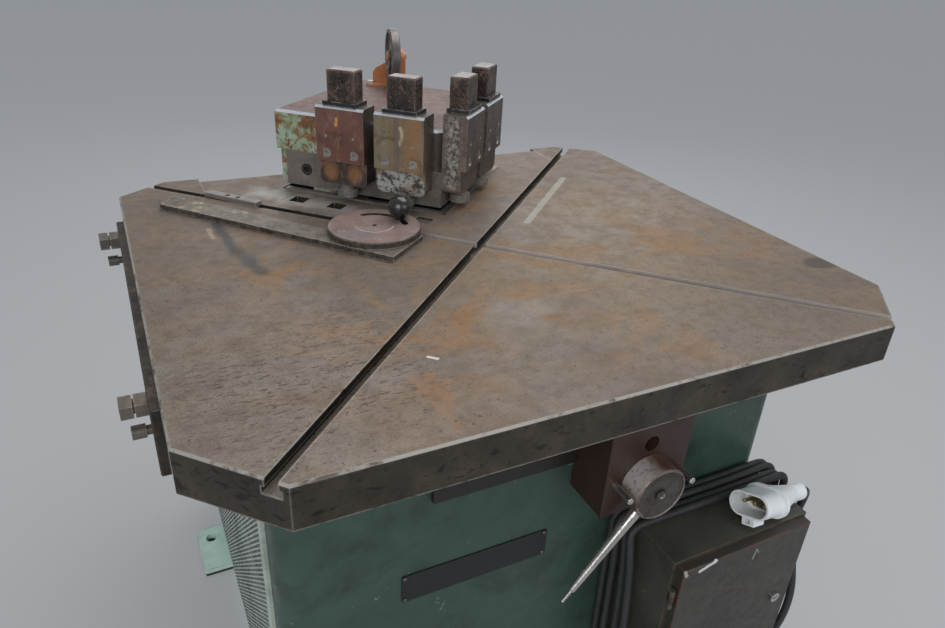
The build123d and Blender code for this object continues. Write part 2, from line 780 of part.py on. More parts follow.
def disc():
    plate = upright(0, 0, (DISC_LOW, DISC_HIGH), DISC_R)
    plate = chamfer(plate.edges().group_by(Axis.Z)[-1], 1.5)
    plate -= upright(0, 0, (DISC_LOW - 1, DISC_HIGH + 1), PIVOT_R + RUN_GAP)
    plate = Pos(STOP_X, STOP_Y, TABLE_TOP + RULER_LIFT) * plate
    slot = arc_slot(DISC_SLOT_R, DISC_SLOT_WIDE, DISC_SLOT_FROM, DISC_SLOT_TO, (DISC_LOW - 1, DISC_HIGH + 1))
    plate -= Pos(STOP_X, STOP_Y, TABLE_TOP + RULER_LIFT) * slot
    for screw in disc_screws():
        plate -= screw
    return plate


def knob():
    x, y = stud_place()
    low = TABLE_TOP + RULER_LIFT + DISC_HIGH + SEAT_GAP
    ball = Pos(x, y, TABLE_TOP + KNOB_ABOVE) * Sphere(KNOB_R)
    neck = upright(x, y, (low, TABLE_TOP + KNOB_ABOVE), KNOB_NECK_R)
    return ball + neck - upright(x, y, (low - 1, low + KNOB_BORE), STUD_R + RUN_GAP)


def clamp_stud():
    x, y = stud_place()
    low = TABLE_TOP + RULER_LIFT + DISC_HIGH
    nut = tee_nut(x, y)
    return nut + upright(x, y, (TABLE_TOP + SLOT_TEE_HIGH - SLOT_DEPTH - 1, low + KNOB_BORE - 1), STUD_R)


def stop_bar_frame(shape):
    return Pos(STOP_X, STOP_Y, TABLE_TOP) * Rot(0, 0, RULER_TURN) * shape


def stop_bar():
    y = (-BAR_OFF - BAR_WIDE, -BAR_OFF)
    bar = block((BAR_FROM, BAR_FROM + BAR_LONG), y, (0, BAR_THICK))
    bar = chamfer(bar.edges().group_by(Axis.Z)[-1], 1)
    for s in BAR_SCREWS:
        bar -= upright(BAR_FROM + s, sum(y) / 2, (-1, BAR_THICK + 1), BAR_SCREW_R)
        sunk = (BAR_THICK - BAR_SCREW_BELOW - BAR_SCREW_HEAD, BAR_THICK + 1)
        bar -= upright(BAR_FROM + s, sum(y) / 2, sunk, BAR_SCREW_HEAD_R + SEAT_GAP)
    return stop_bar_frame(bar)


def tee_nut(x, y):
    centre_q = (y - x) / math.sqrt(2)
    half = SLOT_TEE / 2 - TEE_NUT_PLAY
    span = (centre_q - TEE_NUT_LONG / 2, centre_q + TEE_NUT_LONG / 2)
    z = above(TEE_NUT_PLAY - SLOT_DEPTH, SLOT_TEE_HIGH - SLOT_DEPTH)
    return turned(block((-SLOT_AT - half, -SLOT_AT + half), span, z))


def stop_bar_fixings():
    y = -BAR_OFF - BAR_WIDE / 2
    top = BAR_THICK - BAR_SCREW_BELOW
    screws, nuts = [], []
    for s in BAR_SCREWS:
        x = BAR_FROM + s
        head = upright(x, y, (top - BAR_SCREW_HEAD, top), BAR_SCREW_HEAD_R)
        head -= Pos(x, y, top) * extrude(RegularPolygon(BAR_SOCKET / math.sqrt(3), 6), -BAR_SOCKET_DEEP)
        screw = head + upright(x, y, (TEE_NUT_PLAY - SLOT_DEPTH, top - BAR_SCREW_HEAD + 1), BAR_SCREW_R)
        screws.append(stop_bar_frame(screw))
        place = stop_bar_frame(Pos(x, y, 0) * Sphere(1)).center()
        nuts.append(tee_nut(place.X, place.Y) - screws[-1])
    return screws, nuts


def side_bar():
    x = (-TABLE_HALF_X - SIDE_BAR_THICK, -TABLE_HALF_X)
    half = SIDE_BAR_LONG / 2
    bar = block(x, (-half, half), above(-SIDE_BAR_LOW, -SIDE_BAR_TOP))
    bar = chamfer(bar.edges().group_by(Axis.X)[0], 1.5)
    for y in (-SIDE_BOLT_Y, SIDE_BOLT_Y):
        bar -= along_x((x[0] - 1, x[1] + 1), y, TABLE_TOP - SIDE_BOLT_BELOW, SIDE_BOLT_R)
        bar -= along_x((x[0] - 1, x[1] + 1), y, TABLE_TOP - SIDE_CAP_BELOW, SIDE_CAP_SHANK_R)
    return bar


def hexagon(x, y, z, flats):
    prism = extrude(RegularPolygon(flats / math.sqrt(3), 6), x[1] - x[0])
    return Pos(x[0], y, z) * Rot(0, 90, 0) * prism


def side_bar_bolts():
    face = -TABLE_HALF_X - SIDE_BAR_THICK
    bolts, nuts, caps = [], [], []
    for y in (-SIDE_BOLT_Y, SIDE_BOLT_Y):
        z = TABLE_TOP - SIDE_BOLT_BELOW
        shank = along_x((face - SIDE_BOLT_OUT, -TABLE_HALF_X + SIDE_SINK), y, z, SIDE_BOLT_R)
        head_x = (face - SIDE_BOLT_OUT - SIDE_BOLT_HEAD, face - SIDE_BOLT_OUT + 1)
        head = hexagon(head_x, y, z, SIDE_BOLT_FLATS)
        bolts.append(head + shank)
        nut = hexagon((face - SIDE_NUT, face), y, z, SIDE_BOLT_FLATS)
        nuts.append(nut - shank)
        z = TABLE_TOP - SIDE_CAP_BELOW
        end = face - SIDE_CAP_OUT - SIDE_CAP_HEAD
        cap = along_x((end, face - SIDE_CAP_OUT), y, z, SIDE_CAP_R)
        cap -= hexagon((end - 1, end + SIDE_CAP_SOCKET_DEEP), y, z, SIDE_CAP_SOCKET)
        caps.append(cap + along_x((face - SIDE_CAP_OUT - 1, -TABLE_HALF_X), y, z, SIDE_CAP_SHANK_R))
    return bolts, nuts, caps


def cabinet_outline(grow):
    x = CABINET_HALF_X + grow
    y = (CABINET_FRONT - grow, CABINET_REAR + grow)
    sketch = RectangleRounded(2 * x, y[1] - y[0], CABINET_CORNER_R + grow)
    return Pos(0, (y[0] + y[1]) / 2) * sketch


def cabinet():
    top = TABLE_TOP - TABLE_THICK
    shell = extrude(cabinet_outline(0), top - BASE_THICK)
    shell -= Pos(0, 0, -1) * extrude(cabinet_outline(-CABINET_WALL), top - BASE_THICK - CABINET_DECK + 1)
    shell = Pos(0, 0, BASE_THICK) * shell
    side = CABINET_HALF_X - DECK_IN
    deck_y = (CABINET_FRONT + DECK_IN, TABLE_HALF_Y - CABINET_CORNER_R)
    shell -= block((-side, side), deck_y, (top - 20, top + 1))
    half = HOUSING_HALF_X + SEAT_GAP
    shell -= block((-half, half), (TABLE_HALF_Y - 30, HOUSING_REAR + SEAT_GAP), (top - 20, top + 1))
    window_y = (PANEL_FRONT + PANEL_LAP, PANEL_REAR - PANEL_LAP)
    window_z = (PANEL_LOW + PANEL_LAP, PANEL_HIGH - PANEL_LAP - CABINET_DECK)
    shell -= block((-CABINET_HALF_X - 1, -CABINET_HALF_X + 20), window_y, window_z)
    half = REAR_COVER_HALF_X - PANEL_LAP
    rear_z = (REAR_COVER_LOW + PANEL_LAP, REAR_COVER_HIGH - PANEL_LAP)
    shell -= block((-half, half), (CABINET_REAR - 20, CABINET_REAR + 1), rear_z)
    return shell


def base_plate():
    plate = extrude(cabinet_outline(0), BASE_THICK)
    for side in (-1, 1):
        for y, hole_y in lug_places():
            x = sorted((side * (CABINET_HALF_X - 1), side * (CABINET_HALF_X + LUG_OUT)))
            lug = block(x, (y - LUG_WIDE / 2, y + LUG_WIDE / 2), (LUG_LIFT, LUG_LIFT + LUG_THICK))
            lug = fillet(lug.edges().filter_by(Axis.Z).sort_by(lambda e: -abs(e.center().X))[:2], 8)
            plate += lug
            hole_x = side * (CABINET_HALF_X + LUG_HOLE_OUT)
            plate -= upright(hole_x, hole_y, (0, LUG_LIFT + LUG_THICK + 1), LUG_HOLE_R)
    return plate


def lug_places():
    return (LUG_FRONT_Y, LUG_FRONT_Y - LUG_HOLE_OFF), (LUG_REAR_Y, LUG_REAR_Y + LUG_HOLE_OFF)


def foot_pads():
    pads = []
    for side in (-1, 1):
        for y, hole_y in lug_places():
            x = sorted((side * CABINET_HALF_X, side * (CABINET_HALF_X + LUG_OUT - 2)))
            pad = block(x, (y - LUG_WIDE / 2 + 2, y + LUG_WIDE / 2 - 2), (0, LUG_LIFT))
            pad -= upright(side * (CABINET_HALF_X + LUG_HOLE_OUT), hole_y, (-1, LUG_LIFT + 1), LUG_HOLE_R)
            pads.append(pad)
    return pads


def vent_panel():
    x = (-CABINET_HALF_X - PANEL_PROUD, -CABINET_HALF_X)
    pan = block(x, (PANEL_FRONT, PANEL_REAR), (PANEL_LOW, PANEL_HIGH))
    inner_y = (PANEL_FRONT + PANEL_SHEET, PANEL_REAR - PANEL_SHEET)
    pan -= block((x[0] + PANEL_SHEET, x[1] + 1), inner_y, (PANEL_LOW + PANEL_SHEET, PANEL_HIGH - PANEL_SHEET))
    margin = PANEL_LAP + PANEL_SLOT_LONG / 2
    step_y = (PANEL_REAR - PANEL_FRONT - 2 * margin) / (PANEL_COLUMNS - 1)
    step_z = (PANEL_HIGH - PANEL_LOW - 2 * margin) / (PANEL_ROWS - 1)
    half, wide = PANEL_SLOT_LONG / 2, PANEL_SLOT_WIDE / 2
    for column in range(PANEL_COLUMNS):
        for row in range(PANEL_ROWS):
            y = PANEL_FRONT + margin + column * step_y
            z = PANEL_LOW + margin + row * step_z
            slot = block((x[0] - 1, x[0] + PANEL_SHEET + 1), (-half, half), (-wide, wide)).rotate(Axis.X, 45)
            pan -= Pos(0, y, z) * slot
    return pan


def rear_cover():
    half = REAR_COVER_HALF_X
    y = (CABINET_REAR, CABINET_REAR + REAR_COVER_SHEET)
    return block((-half, half), y, (REAR_COVER_LOW, REAR_COVER_HIGH))


def housing():
    z = (TABLE_TOP - HOUSING_BELOW_TOP - HOUSING_HIGH, TABLE_TOP - HOUSING_BELOW_TOP)
    casting = block((-HOUSING_HALF_X, HOUSING_HALF_X), (TABLE_HALF_Y, HOUSING_REAR), z)
    for x in (-COLUMN_X, COLUMN_X):
        casting -= upright(x, COLUMN_Y, (z[0] - 1, z[1] + 1), COLUMN_R + BUSH_WALL)
    casting -= upright(0, ROD_Y, (z[0] - 1, z[1] + 1), ROD_R + 2)
    return casting


def guide_bushes():
    z = (TABLE_TOP - HOUSING_BELOW_TOP - HOUSING_HIGH, TABLE_TOP - HOUSING_BELOW_TOP)
    made = []
    for x in (-COLUMN_X, COLUMN_X):
        for span in ((z[0], z[0] + BUSH_LONG), (z[1] - BUSH_LONG, z[1])):
            bush = upright(x, COLUMN_Y, span, COLUMN_R + BUSH_WALL)
            made.append(bush - upright(x, COLUMN_Y, (span[0] - 1, span[1] + 1), COLUMN_R + RUN_GAP))
    return made


def guide_columns():
    low = TABLE_TOP - HOUSING_BELOW_TOP - HOUSING_HIGH + HEAD_STROKE
    high = TABLE_TOP + CARRIER_CLEAR + COLUMN_SINK
    return [upright(x, COLUMN_Y, (low, high), COLUMN_R) for x in (-COLUMN_X, COLUMN_X)]


def cylinder_span():
    high = TABLE_TOP - HOUSING_BELOW_TOP - HOUSING_HIGH
    return high - CYLINDER_LONG, high


def main_cylinder():
    low, high = cylinder_span()
    barrel = upright(0, ROD_Y, (low, high), CYLINDER_R)
    barrel -= upright(0, ROD_Y, (low + CYLINDER_CAP, high - CYLINDER_CAP), CYLINDER_BORE_R)
    barrel -= upright(0, ROD_Y, (high - CYLINDER_CAP - 1, high + 1), ROD_R + RUN_GAP)
    return barrel


def piston_rod():
    low, high = cylinder_span()
    piston_low = low + CYLINDER_CAP + HEAD_STROKE + PISTON_PLAY
    rod = upright(0, ROD_Y, (piston_low, TABLE_TOP + CARRIER_CLEAR + COLUMN_SINK), ROD_R)
    return rod + upright(0, ROD_Y, (piston_low, piston_low + PISTON_THICK), CYLINDER_BORE_R - RUN_GAP)


def front_rail():
    y = (CABINET_FRONT - RAIL_THICK, CABINET_FRONT)
    return block((RAIL_LEFT, RAIL_RIGHT), y, above(-RAIL_LOW, -TABLE_THICK))


def data_plate():
    y = (CABINET_FRONT - PLATE_THICK, CABINET_FRONT)
    plate = block((PLATE_LEFT, PLATE_RIGHT), y, above(-PLATE_LOW, -PLATE_TOP))
    return fillet(plate.edges().filter_by(Axis.Y), 3)


def bracket_block():
    y = (CABINET_FRONT - BRACKET_DEEP, CABINET_FRONT)
    body = block((BRACKET_LEFT, BRACKET_RIGHT), y, above(-BRACKET_LOW, -TABLE_THICK))
    body = chamfer(body.edges().group_by(Axis.Y)[0], 1.5)
    bore_y = (y[0] - 1, y[0] + BRACKET_BORE_DEEP)
    body -= along_y(HUB_X, bore_y, TABLE_TOP - BRACKET_BORE_BELOW, BRACKET_BORE_R)
    spindle_y = (y[0] - 1, y[0] + HUB_SPINDLE_LONG)
    body -= along_y(HUB_X, spindle_y, TABLE_TOP - HUB_BELOW, HUB_SPINDLE_R + RUN_GAP)
    for side in (-1, 1):
        x = HUB_X + side * STOP_STUD_OFF
        z = TABLE_TOP - HUB_BELOW + STOP_STUD_UP
        body -= along_y(x, (y[0] - 1, y[0] + STOP_STUD_SINK), z, STOP_STUD_R)
    return body


def stop_studs():
    front = CABINET_FRONT - BRACKET_DEEP
    made = []
    for side in (-1, 1):
        x = HUB_X + side * STOP_STUD_OFF
        z = TABLE_TOP - HUB_BELOW + STOP_STUD_UP
        stud = along_y(x, (front - STOP_STUD_LONG, front + STOP_STUD_SINK), z, STOP_STUD_R)
        made.append(chamfer(stud.edges().sort_by(Axis.Y)[0], 1))
    return made


def hub_front():
    return CABINET_FRONT - BRACKET_DEEP - HUB_STAND_OFF - HUB_THICK


def dial_hub():
    back = CABINET_FRONT - BRACKET_DEEP - HUB_STAND_OFF
    front = hub_front()
    z = TABLE_TOP - HUB_BELOW
    drum = along_y(HUB_X, (front, back), z, HUB_R)
    drum = chamfer(drum.edges().group_by(Axis.Y)[0], 1.5)
    drum -= along_y(HUB_X, (front - 1, front + HUB_DISH), z, HUB_R - HUB_RIM)
    spindle = along_y(HUB_X, (back - 1, back + HUB_SPINDLE_LONG - 2), z, HUB_SPINDLE_R)
    return drum + spindle - lever_blank(0)


def lever_blank(extra):
    start = HUB_R - LEVER_SINK
    body_end = LEVER_REACH - LEVER_PIN_LONG
    outline = [
        (0, start), (LEVER_ROOT_R, start), (LEVER_ROOT_R, HUB_R + 8), (LEVER_TIP_R, body_end - 3),
        (LEVER_TIP_R - 1, body_end), (LEVER_PIN_R, body_end), (LEVER_PIN_R, LEVER_REACH), (0, LEVER_REACH),
    ]
    face = make_face(Polyline(*[(r + (extra if r else 0), s) for r, s in outline], close=True))
    lever = revolve(face, Axis.Y)
    y = CABINET_FRONT - BRACKET_DEEP - HUB_STAND_OFF - LEVER_AT
    turn = Plane(origin=(HUB_X, y, TABLE_TOP - HUB_BELOW), x_dir=(1, 0, 0), z_dir=(0, -1, 0))
    return turn * Rot(0, 0, LEVER_ANGLE - 90) * lever


def switch_box():
    x = (BOX_LEFT, BOX_RIGHT)
    y = (CABINET_FRONT - BOX_DEEP, CABINET_FRONT)
    z = above(-BOX_TOP - BOX_HIGH, -BOX_TOP)
    s = BOX_SHEET
    shell = block(x, y, z) - block((x[0] + s, x[1] - s), (y[0] + s, y[1] - s), (z[0] + s, z[1] - s))
    lip = BOX_LIP
    shell -= block((x[0] + lip, x[1] - lip), (y[0] - 1, y[0] + s + 1), (z[0] + lip, z[1] - lip))
    shell -= upright(GLAND_X, GLAND_Y, (z[0] - 1, z[0] + s + 1), GLAND_THREAD_R)
    for hinge in door_hinges():
        shell += hinge
    return shell


def door_span():
    x = (BOX_LEFT + DOOR_SIDE_IN, BOX_RIGHT - DOOR_IN)
    y = (CABINET_FRONT - BOX_DEEP - DOOR_GAP - DOOR_DEEP, CABINET_FRONT - BOX_DEEP - DOOR_GAP)
    z = above(-BOX_TOP - BOX_HIGH + DOOR_IN, -BOX_TOP - DOOR_IN)
    return x, y, z


def hinge_axis():
    x, y, z = door_span()
    return x[0] - HINGE_OFF, y[1] - HINGE_OFF - 1, (z[0] + HINGE_IN, z[1] - HINGE_IN)


def lock_place():
    x, y, z = door_span()
    return x[1] - LOCK_IN, sum(z) / 2


def box_door():
    x, y, z = door_span()
    s = DOOR_SHEET
    pan = block(x, y, z) - block((x[0] + s, x[1] - s), (y[0] + s, y[1] + 1), (z[0] + s, z[1] - s))
    pan = chamfer(pan.edges().group_by(Axis.Y)[0], 1.2)
    hinge_x, hinge_y, heights = hinge_axis()
    for height in heights:
        span = (height - HINGE_EYE_LONG / 2, height + HINGE_EYE_LONG / 2)
        eye = upright(hinge_x, hinge_y, span, HINGE_EYE_R)
        eye += block((hinge_x, x[0] + 1), (hinge_y - 1.5, hinge_y + 1.5), span)
        pan += eye - upright(hinge_x, hinge_y, (span[0] - 1, span[1] + 1), HINGE_R + RUN_GAP)
    lock_x, lock_z = lock_place()
    pan -= along_y(lock_x, (y[0] - 1, y[0] + s + 1), lock_z, LOCK_SHAFT_R + RUN_GAP)
    return pan


def door_hinges():
    hinge_x, hinge_y, heights = hinge_axis()
    face = CABINET_FRONT - BOX_DEEP
    made = []
    for height in heights:
        reach = HINGE_EYE_LONG / 2 + SEAT_GAP
        end = reach + HINGE_EAR_LONG
        pin = upright(hinge_x, hinge_y, (height - end, height + end), HINGE_R)
        for side in (-1, 1):
            span = sorted((height + side * reach, height + side * (reach + HINGE_EAR_LONG)))
            pin += upright(hinge_x, hinge_y, span, HINGE_EYE_R)
            pin += block((hinge_x - 2, hinge_x + 2), (hinge_y, face), span)
        made.append(pin)
    return made


def door_lock():
    x, y, z = door_span()
    lock_x, lock_z = lock_place()
    head = along_y(lock_x, (y[0] - LOCK_HEAD - SEAT_GAP, y[0] - SEAT_GAP), lock_z, LOCK_R)
    head -= block((lock_x - 6, lock_x + 6), (y[0] - LOCK_HEAD - 1, y[0] - 2), (lock_z - 1, lock_z + 1))
    cam_y = (y[1] + DOOR_GAP + BOX_SHEET + 1, y[1] + DOOR_GAP + BOX_SHEET + 1 + CAM_THICK)
    shaft = along_y(lock_x, (y[0] - SEAT_GAP - 1, cam_y[1]), lock_z, LOCK_SHAFT_R)
    half = CAM_WIDE / 2
    cam = block((lock_x - half, lock_x + half), cam_y, (lock_z - CAM_REACH, lock_z + half))
    return head + shaft + cam


def switchgear():
    x = (BOX_LEFT + GEAR_IN, BOX_RIGHT - GEAR_IN)
    back = CABINET_FRONT - BOX_SHEET
    made = []
    for below, high, deep in GEAR_ROWS:
        z = (TABLE_TOP - below - high, TABLE_TOP - below)
        rail_z = ((z[0] + z[1] - GEAR_RAIL) / 2, (z[0] + z[1] + GEAR_RAIL) / 2)
        rail = block(x, (back - GEAR_RAIL_DEEP, back), rail_z)
        step = (x[1] - x[0]) / GEAR_COUNT
        for n in range(GEAR_COUNT):
            left = x[0] + n * step
            across = (left + GEAR_PLAY, left + step - GEAR_PLAY)
            rail += block(across, (back - deep, back - GEAR_RAIL_DEEP + 1), z)
        made.append(rail)
    return made


def cable_gland():
    low = TABLE_TOP - BOX_TOP - BOX_HIGH
    body = upright(GLAND_X, GLAND_Y, (low - GLAND_LONG, low), GLAND_R)
    body = chamfer(body.edges().group_by(Axis.Z)[0], 4)
    nut = extrude(RegularPolygon(GLAND_NUT_R, 6), GLAND_NUT_HIGH)
    body += Pos(GLAND_X, GLAND_Y, low - GLAND_NUT_BELOW) * nut
    body += upright(GLAND_X, GLAND_Y, (low - 1, low + BOX_SHEET), GLAND_THREAD_R)
    return body


def cable_coil():
    half = COIL_THICK / 2
    x = (COIL_LEFT + half, COIL_RIGHT - half)
    z = above(half - COIL_LOW, SEAT_GAP - BOX_TOP)
    wide, high = x[1] - x[0], z[1] - z[0]
    outer = RectangleRounded(wide + 2 * COIL_THICK, high + 2 * COIL_THICK, COIL_CORNER_R)
    ring = outer - RectangleRounded(wide, high, COIL_CORNER_R - COIL_THICK)
    depth = COIL_REAR_Y - COIL_FRONT_Y
    ring = Rot(90, 0, 0) * extrude(ring, depth)
    ring = Pos((x[0] + x[1]) / 2, COIL_REAR_Y, (z[0] + z[1]) / 2) * ring
    cut_z = (TABLE_TOP - BOX_TOP - BOX_HIGH, TABLE_TOP)
    ring -= block((BOX_LEFT + COIL_CUT_IN, COIL_RIGHT + 2 * COIL_THICK), (COIL_FRONT_Y - 1, COIL_TOP_FRONT_Y), cut_z)
    return ring


# The two stretches of the supply cable outside its loops: the lead from the gland and the tail to the plug
def lead_route():
    start = TABLE_TOP - BOX_TOP - BOX_HIGH - GLAND_LONG
    return [
        (GLAND_X, GLAND_Y, start), (GLAND_X, GLAND_Y, start - 30), (GLAND_X + 22, GLAND_Y + 1, start - 58),
        (GLAND_X + 58, GLAND_Y + 3, start - 71),
    ]


def tail_route():
    end = plug_rear()
    return [
        (405, -392, 108), (414, -412, 158), (416, -428, 212), (415, -436, 268), (416, -434, 322),
        (418, -420, 366), (421, -403, 400), (425, -392, 430), (434, -387, 458), (438, -388, 482),
        (432, -392, 502), (end[0] + 14, end[1] + 1, end[2] - 3), end,
    ]


def tube(points):
    runs = [(Vector(*b) - Vector(*a)) for a, b in zip(points, points[1:])]
    radii = []
    for first, second in zip(runs, runs[1:]):
        turn = math.radians(first.get_angle(second))
        radii.append(BEND_SHARE * min(first.length, second.length) / math.tan(turn / 2))
    print("cable radii", [round(radius, 1) for radius in radii])
    path = FilletPolyline(*points, radius=radii)
    section = Plane(origin=path @ 0, z_dir=path % 0) * Circle(CABLE_R)
    pipe = sweep(section, path=path)
    ratio = pipe.volume / (math.pi * CABLE_R**2 * path.length)
    print("cable volume ratio", round(ratio, 4), "length", round(path.length, 1))
    return pipe


# The plug lies on the lower corner of its key and on its collar, where that meets the edge of the box
def plug_depth():
    roll = math.radians(-PLUG_ROLL)
    return (PLUG_SHELL_HIGH / 2 + PLUG_KEY_HIGH) * math.cos(roll) + PLUG_KEY_WIDE / 2 * math.sin(roll)


def plug_tilt():
    reach = (BOX_RIGHT - PLUG_MOUTH_X) / math.cos(math.radians(PLUG_YAW)) + PLUG_EASE
    return math.degrees(math.atan((plug_depth() - PLUG_COLLAR_R) / (reach - PLUG_KEY_LONG)))


def plug_frame(shape):
    tilt = math.radians(plug_tilt())
    rise = plug_depth() * math.cos(tilt) + PLUG_KEY_LONG * math.sin(tilt)
    place = Pos(PLUG_MOUTH_X, PLUG_Y, TABLE_TOP - BOX_TOP + rise + SEAT_GAP)
    return place * Rot(0, 0, PLUG_YAW) * Rot(0, plug_tilt(), 0) * Rot(PLUG_ROLL, 0, 0) * shape


def plug_rear():
    centre = plug_frame(Pos(PLUG_LONG, 0, 0) * Sphere(1)).center()
    return (centre.X, centre.Y, centre.Z)


def oval(wide, high, x):
    sketch = Plane.YZ * SlotOverall(wide, high)
    return Pos(x[0], 0, 0) * extrude(sketch, x[1] - x[0])


def plug_shell():
    flange_end = PLUG_SHELL_LONG + PLUG_FLANGE_LONG
    collar_start = PLUG_LONG - PLUG_COLLAR_LONG
    shell = oval(PLUG_SHELL_WIDE, PLUG_SHELL_HIGH, (0, PLUG_SHELL_LONG))
    wide, high = PLUG_SHELL_WIDE + 2 * PLUG_FLANGE, PLUG_SHELL_HIGH + 2 * PLUG_FLANGE
    shell += oval(wide, high, (PLUG_SHELL_LONG, flange_end))
    low = -PLUG_SHELL_HIGH / 2 - PLUG_KEY_HIGH
    half = PLUG_KEY_WIDE / 2
    shell += block((0, PLUG_KEY_LONG), (-half, half), (low, 1 - PLUG_SHELL_HIGH / 2))
    front = Plane.YZ.offset(flange_end) * SlotOverall(PLUG_SHELL_WIDE - 4, PLUG_SHELL_HIGH)
    rear = Plane.YZ.offset(collar_start) * Circle(PLUG_COLLAR_R)
    shell += loft([front, rear])
    shell += along_x((collar_start - 1, PLUG_LONG), 0, 0, PLUG_COLLAR_R)
    wide, high = PLUG_SHELL_WIDE - 2 * PLUG_WALL, PLUG_SHELL_HIGH - 2 * PLUG_WALL
    shell -= oval(wide, high, (-1, PLUG_SHELL_LONG - PLUG_WALL))
    hole_z = low + PLUG_KEY_HIGH / 2
    shell -= along_x((-1, PLUG_KEY_LONG - PLUG_WALL), 0, hole_z, PLUG_KEY_HOLE_R)
    return plug_frame(shell)


def plug_pins():
    made = []
    floor_x = PLUG_SHELL_LONG - PLUG_WALL
    for n in (-1, 0, 1):
        pin = along_x((floor_x - PLUG_PIN_LONG, floor_x), n * PLUG_PIN_PITCH, 0, PLUG_PIN_R)
        made.append(plug_frame(chamfer(pin.edges().sort_by(Axis.X)[0], 1)))
    return made


def tank_top():
    return BASE_THICK + TANK_HIGH + TANK_LID


def oil_tank():
    x, y = (TANK_LEFT, TANK_RIGHT), (TANK_FRONT, TANK_REAR)
    tank = block(x, y, (BASE_THICK, tank_top() - TANK_LID))
    lid_z = (tank_top() - TANK_LID, tank_top())
    lid = block((x[0] - TANK_LAP, x[1] + TANK_LAP), (y[0] - TANK_LAP, y[1] + TANK_LAP), lid_z)
    cap_z = (lid_z[1], lid_z[1] + TANK_CAP_HIGH)
    cap = upright(TANK_LEFT + TANK_CAP_IN, TANK_REAR - TANK_CAP_IN, cap_z, TANK_CAP_R)
    return tank + lid + cap


def motor_axis():
    return (TANK_LEFT + TANK_RIGHT) / 2, tank_top() + MOTOR_FEET + MOTOR_R


def motor_pump():
    x, z = motor_axis()
    y = (TANK_FRONT + MOTOR_IN, TANK_FRONT + MOTOR_IN + MOTOR_LONG)
    motor = along_y(x, y, z, MOTOR_R)
    for n in range(MOTOR_FINS):
        reach = MOTOR_R + MOTOR_FIN
        fin = block((-FIN_HALF, FIN_HALF), (y[0] + 3 * MOTOR_IN, y[1] - MOTOR_IN), (MOTOR_R - 5, reach))
        angle = 180 * (n + 0.5) / MOTOR_FINS - 90
        motor += Pos(x, 0, z) * fin.rotate(Axis.Y, angle)
    half = MOTOR_R - MOTOR_FOOT_IN
    feet_y = (y[0] + 4 * MOTOR_IN, y[1] - 2 * MOTOR_IN)
    motor += block((x - half, x + half), feet_y, (tank_top(), z - MOTOR_R / 2))
    bell = along_y(x, (y[1], y[1] + BELL_LONG), z, BELL_R)
    half = PUMP_SIDE / 2
    start = y[1] + BELL_LONG
    pump = block((x - half, x + half), (start, start + PUMP_LONG), (z - half, z + half))
    leg = PUMP_LEG / 2
    pump += block((x - leg, x + leg), (start + MOTOR_IN, start + MOTOR_IN + PUMP_LEG), (tank_top(), z))
    return [motor + bell, pump]


def valve_place():
    x = (TANK_RIGHT - VALVE_IN - VALVE_SIDE, TANK_RIGHT - VALVE_IN)
    return x, (VALVE_Y, VALVE_Y + VALVE_SIDE), (tank_top(), tank_top() + VALVE_LONG)


def valve_ports():
    return [tank_top() + VALVE_LONG * share for share in VALVE_PORTS]


def valve_block():
    x, y, z = valve_place()
    body = block(x, y, z)
    for height in valve_ports():
        body += along_x((x[0] - SOLENOID_LONG, x[0] + 1), sum(y) / 2, height, SOLENOID_R)
    return body


def oil_pipes():
    x, y, z = valve_place()
    low, high = cylinder_span()
    made = []
    for n, port in enumerate((low + CYLINDER_CAP / 2, high - CYLINDER_CAP / 2)):
        start_z = valve_ports()[n]
        start_y = (y[0] + PIPE_IN, y[1] - PIPE_IN)[n]
        lane = x[1] + PIPE_BEND + PIPE_RUN + n * PIPE_PITCH
        points = [
            (x[1], start_y, start_z), (lane, start_y, start_z), (lane, ROD_Y, start_z + PIPE_RISE),
            (lane, ROD_Y, port), (-CYLINDER_R, ROD_Y, port),
        ]
        rise = abs(port - start_z - PIPE_RISE)
        radius = min(PIPE_BEND, rise * BEND_SHARE, (-CYLINDER_R - lane) * BEND_SHARE)
        path = FilletPolyline(*points, radius=radius)
        made.append(sweep(Plane(origin=path @ 0, z_dir=path % 0) * Circle(PIPE_R), path=path))
    return made


def slug_chute():
    high = TABLE_TOP - TABLE_THICK
    outer = (HOLE_EDGE - CHUTE_SHEET, HOLE_END + CHUTE_SHEET)
    lap = (outer[0] - CHUTE_FLANGE, outer[1] + CHUTE_FLANGE)
    duct = block(outer, outer, (high - CHUTE_DROP, high))
    duct += block(lap, lap, (high - CHUTE_SHEET, high))
    inner = (HOLE_EDGE, HOLE_END)
    duct -= block(inner, inner, (high - CHUTE_DROP - 1, high + 1))
    return turned(duct)


os.makedirs("parts", exist_ok=True)

write("table_plate", table())
write("die_bed", die_bed())
write("lower_blade_left", lower_blade(LOWER_BLADE_BACK - LOWER_BLADE_PAST))
write("lower_blade_right", mirrored(lower_blade(EDGE_P)))
write("upper_blade_left", upper_blade(UPPER_BLADE_FRONT))
write("upper_blade_right", mirrored(upper_blade(UPPER_BLADE_BACK + SEAT_GAP)))
screws = [turned(blade_screw(q, 0)) for q in blade_screw_places()]
write("blade_screws", *screws, *[mirrored(screw) for screw in screws])
write("head_casting", head_casting())
blocks, plates, unit_screws, collars, rams = units()
for number, piece in enumerate(blocks, 1):
    write(f"holddown_block_{number}", piece)
for number, piece in enumerate(rams, 1):
    write(f"holddown_ram_{number}", piece)
write("face_plates", *plates)
write("face_plate_screws", *unit_screws)
write("scraper_collars", *collars)
write("stroke_wheel", handwheel())
write("wheel_bracket", wheel_bracket(), *bracket_bolts())
write("fence_ruler", ruler())
write("protractor_disc", disc())
write("disc_screws", *disc_screws())
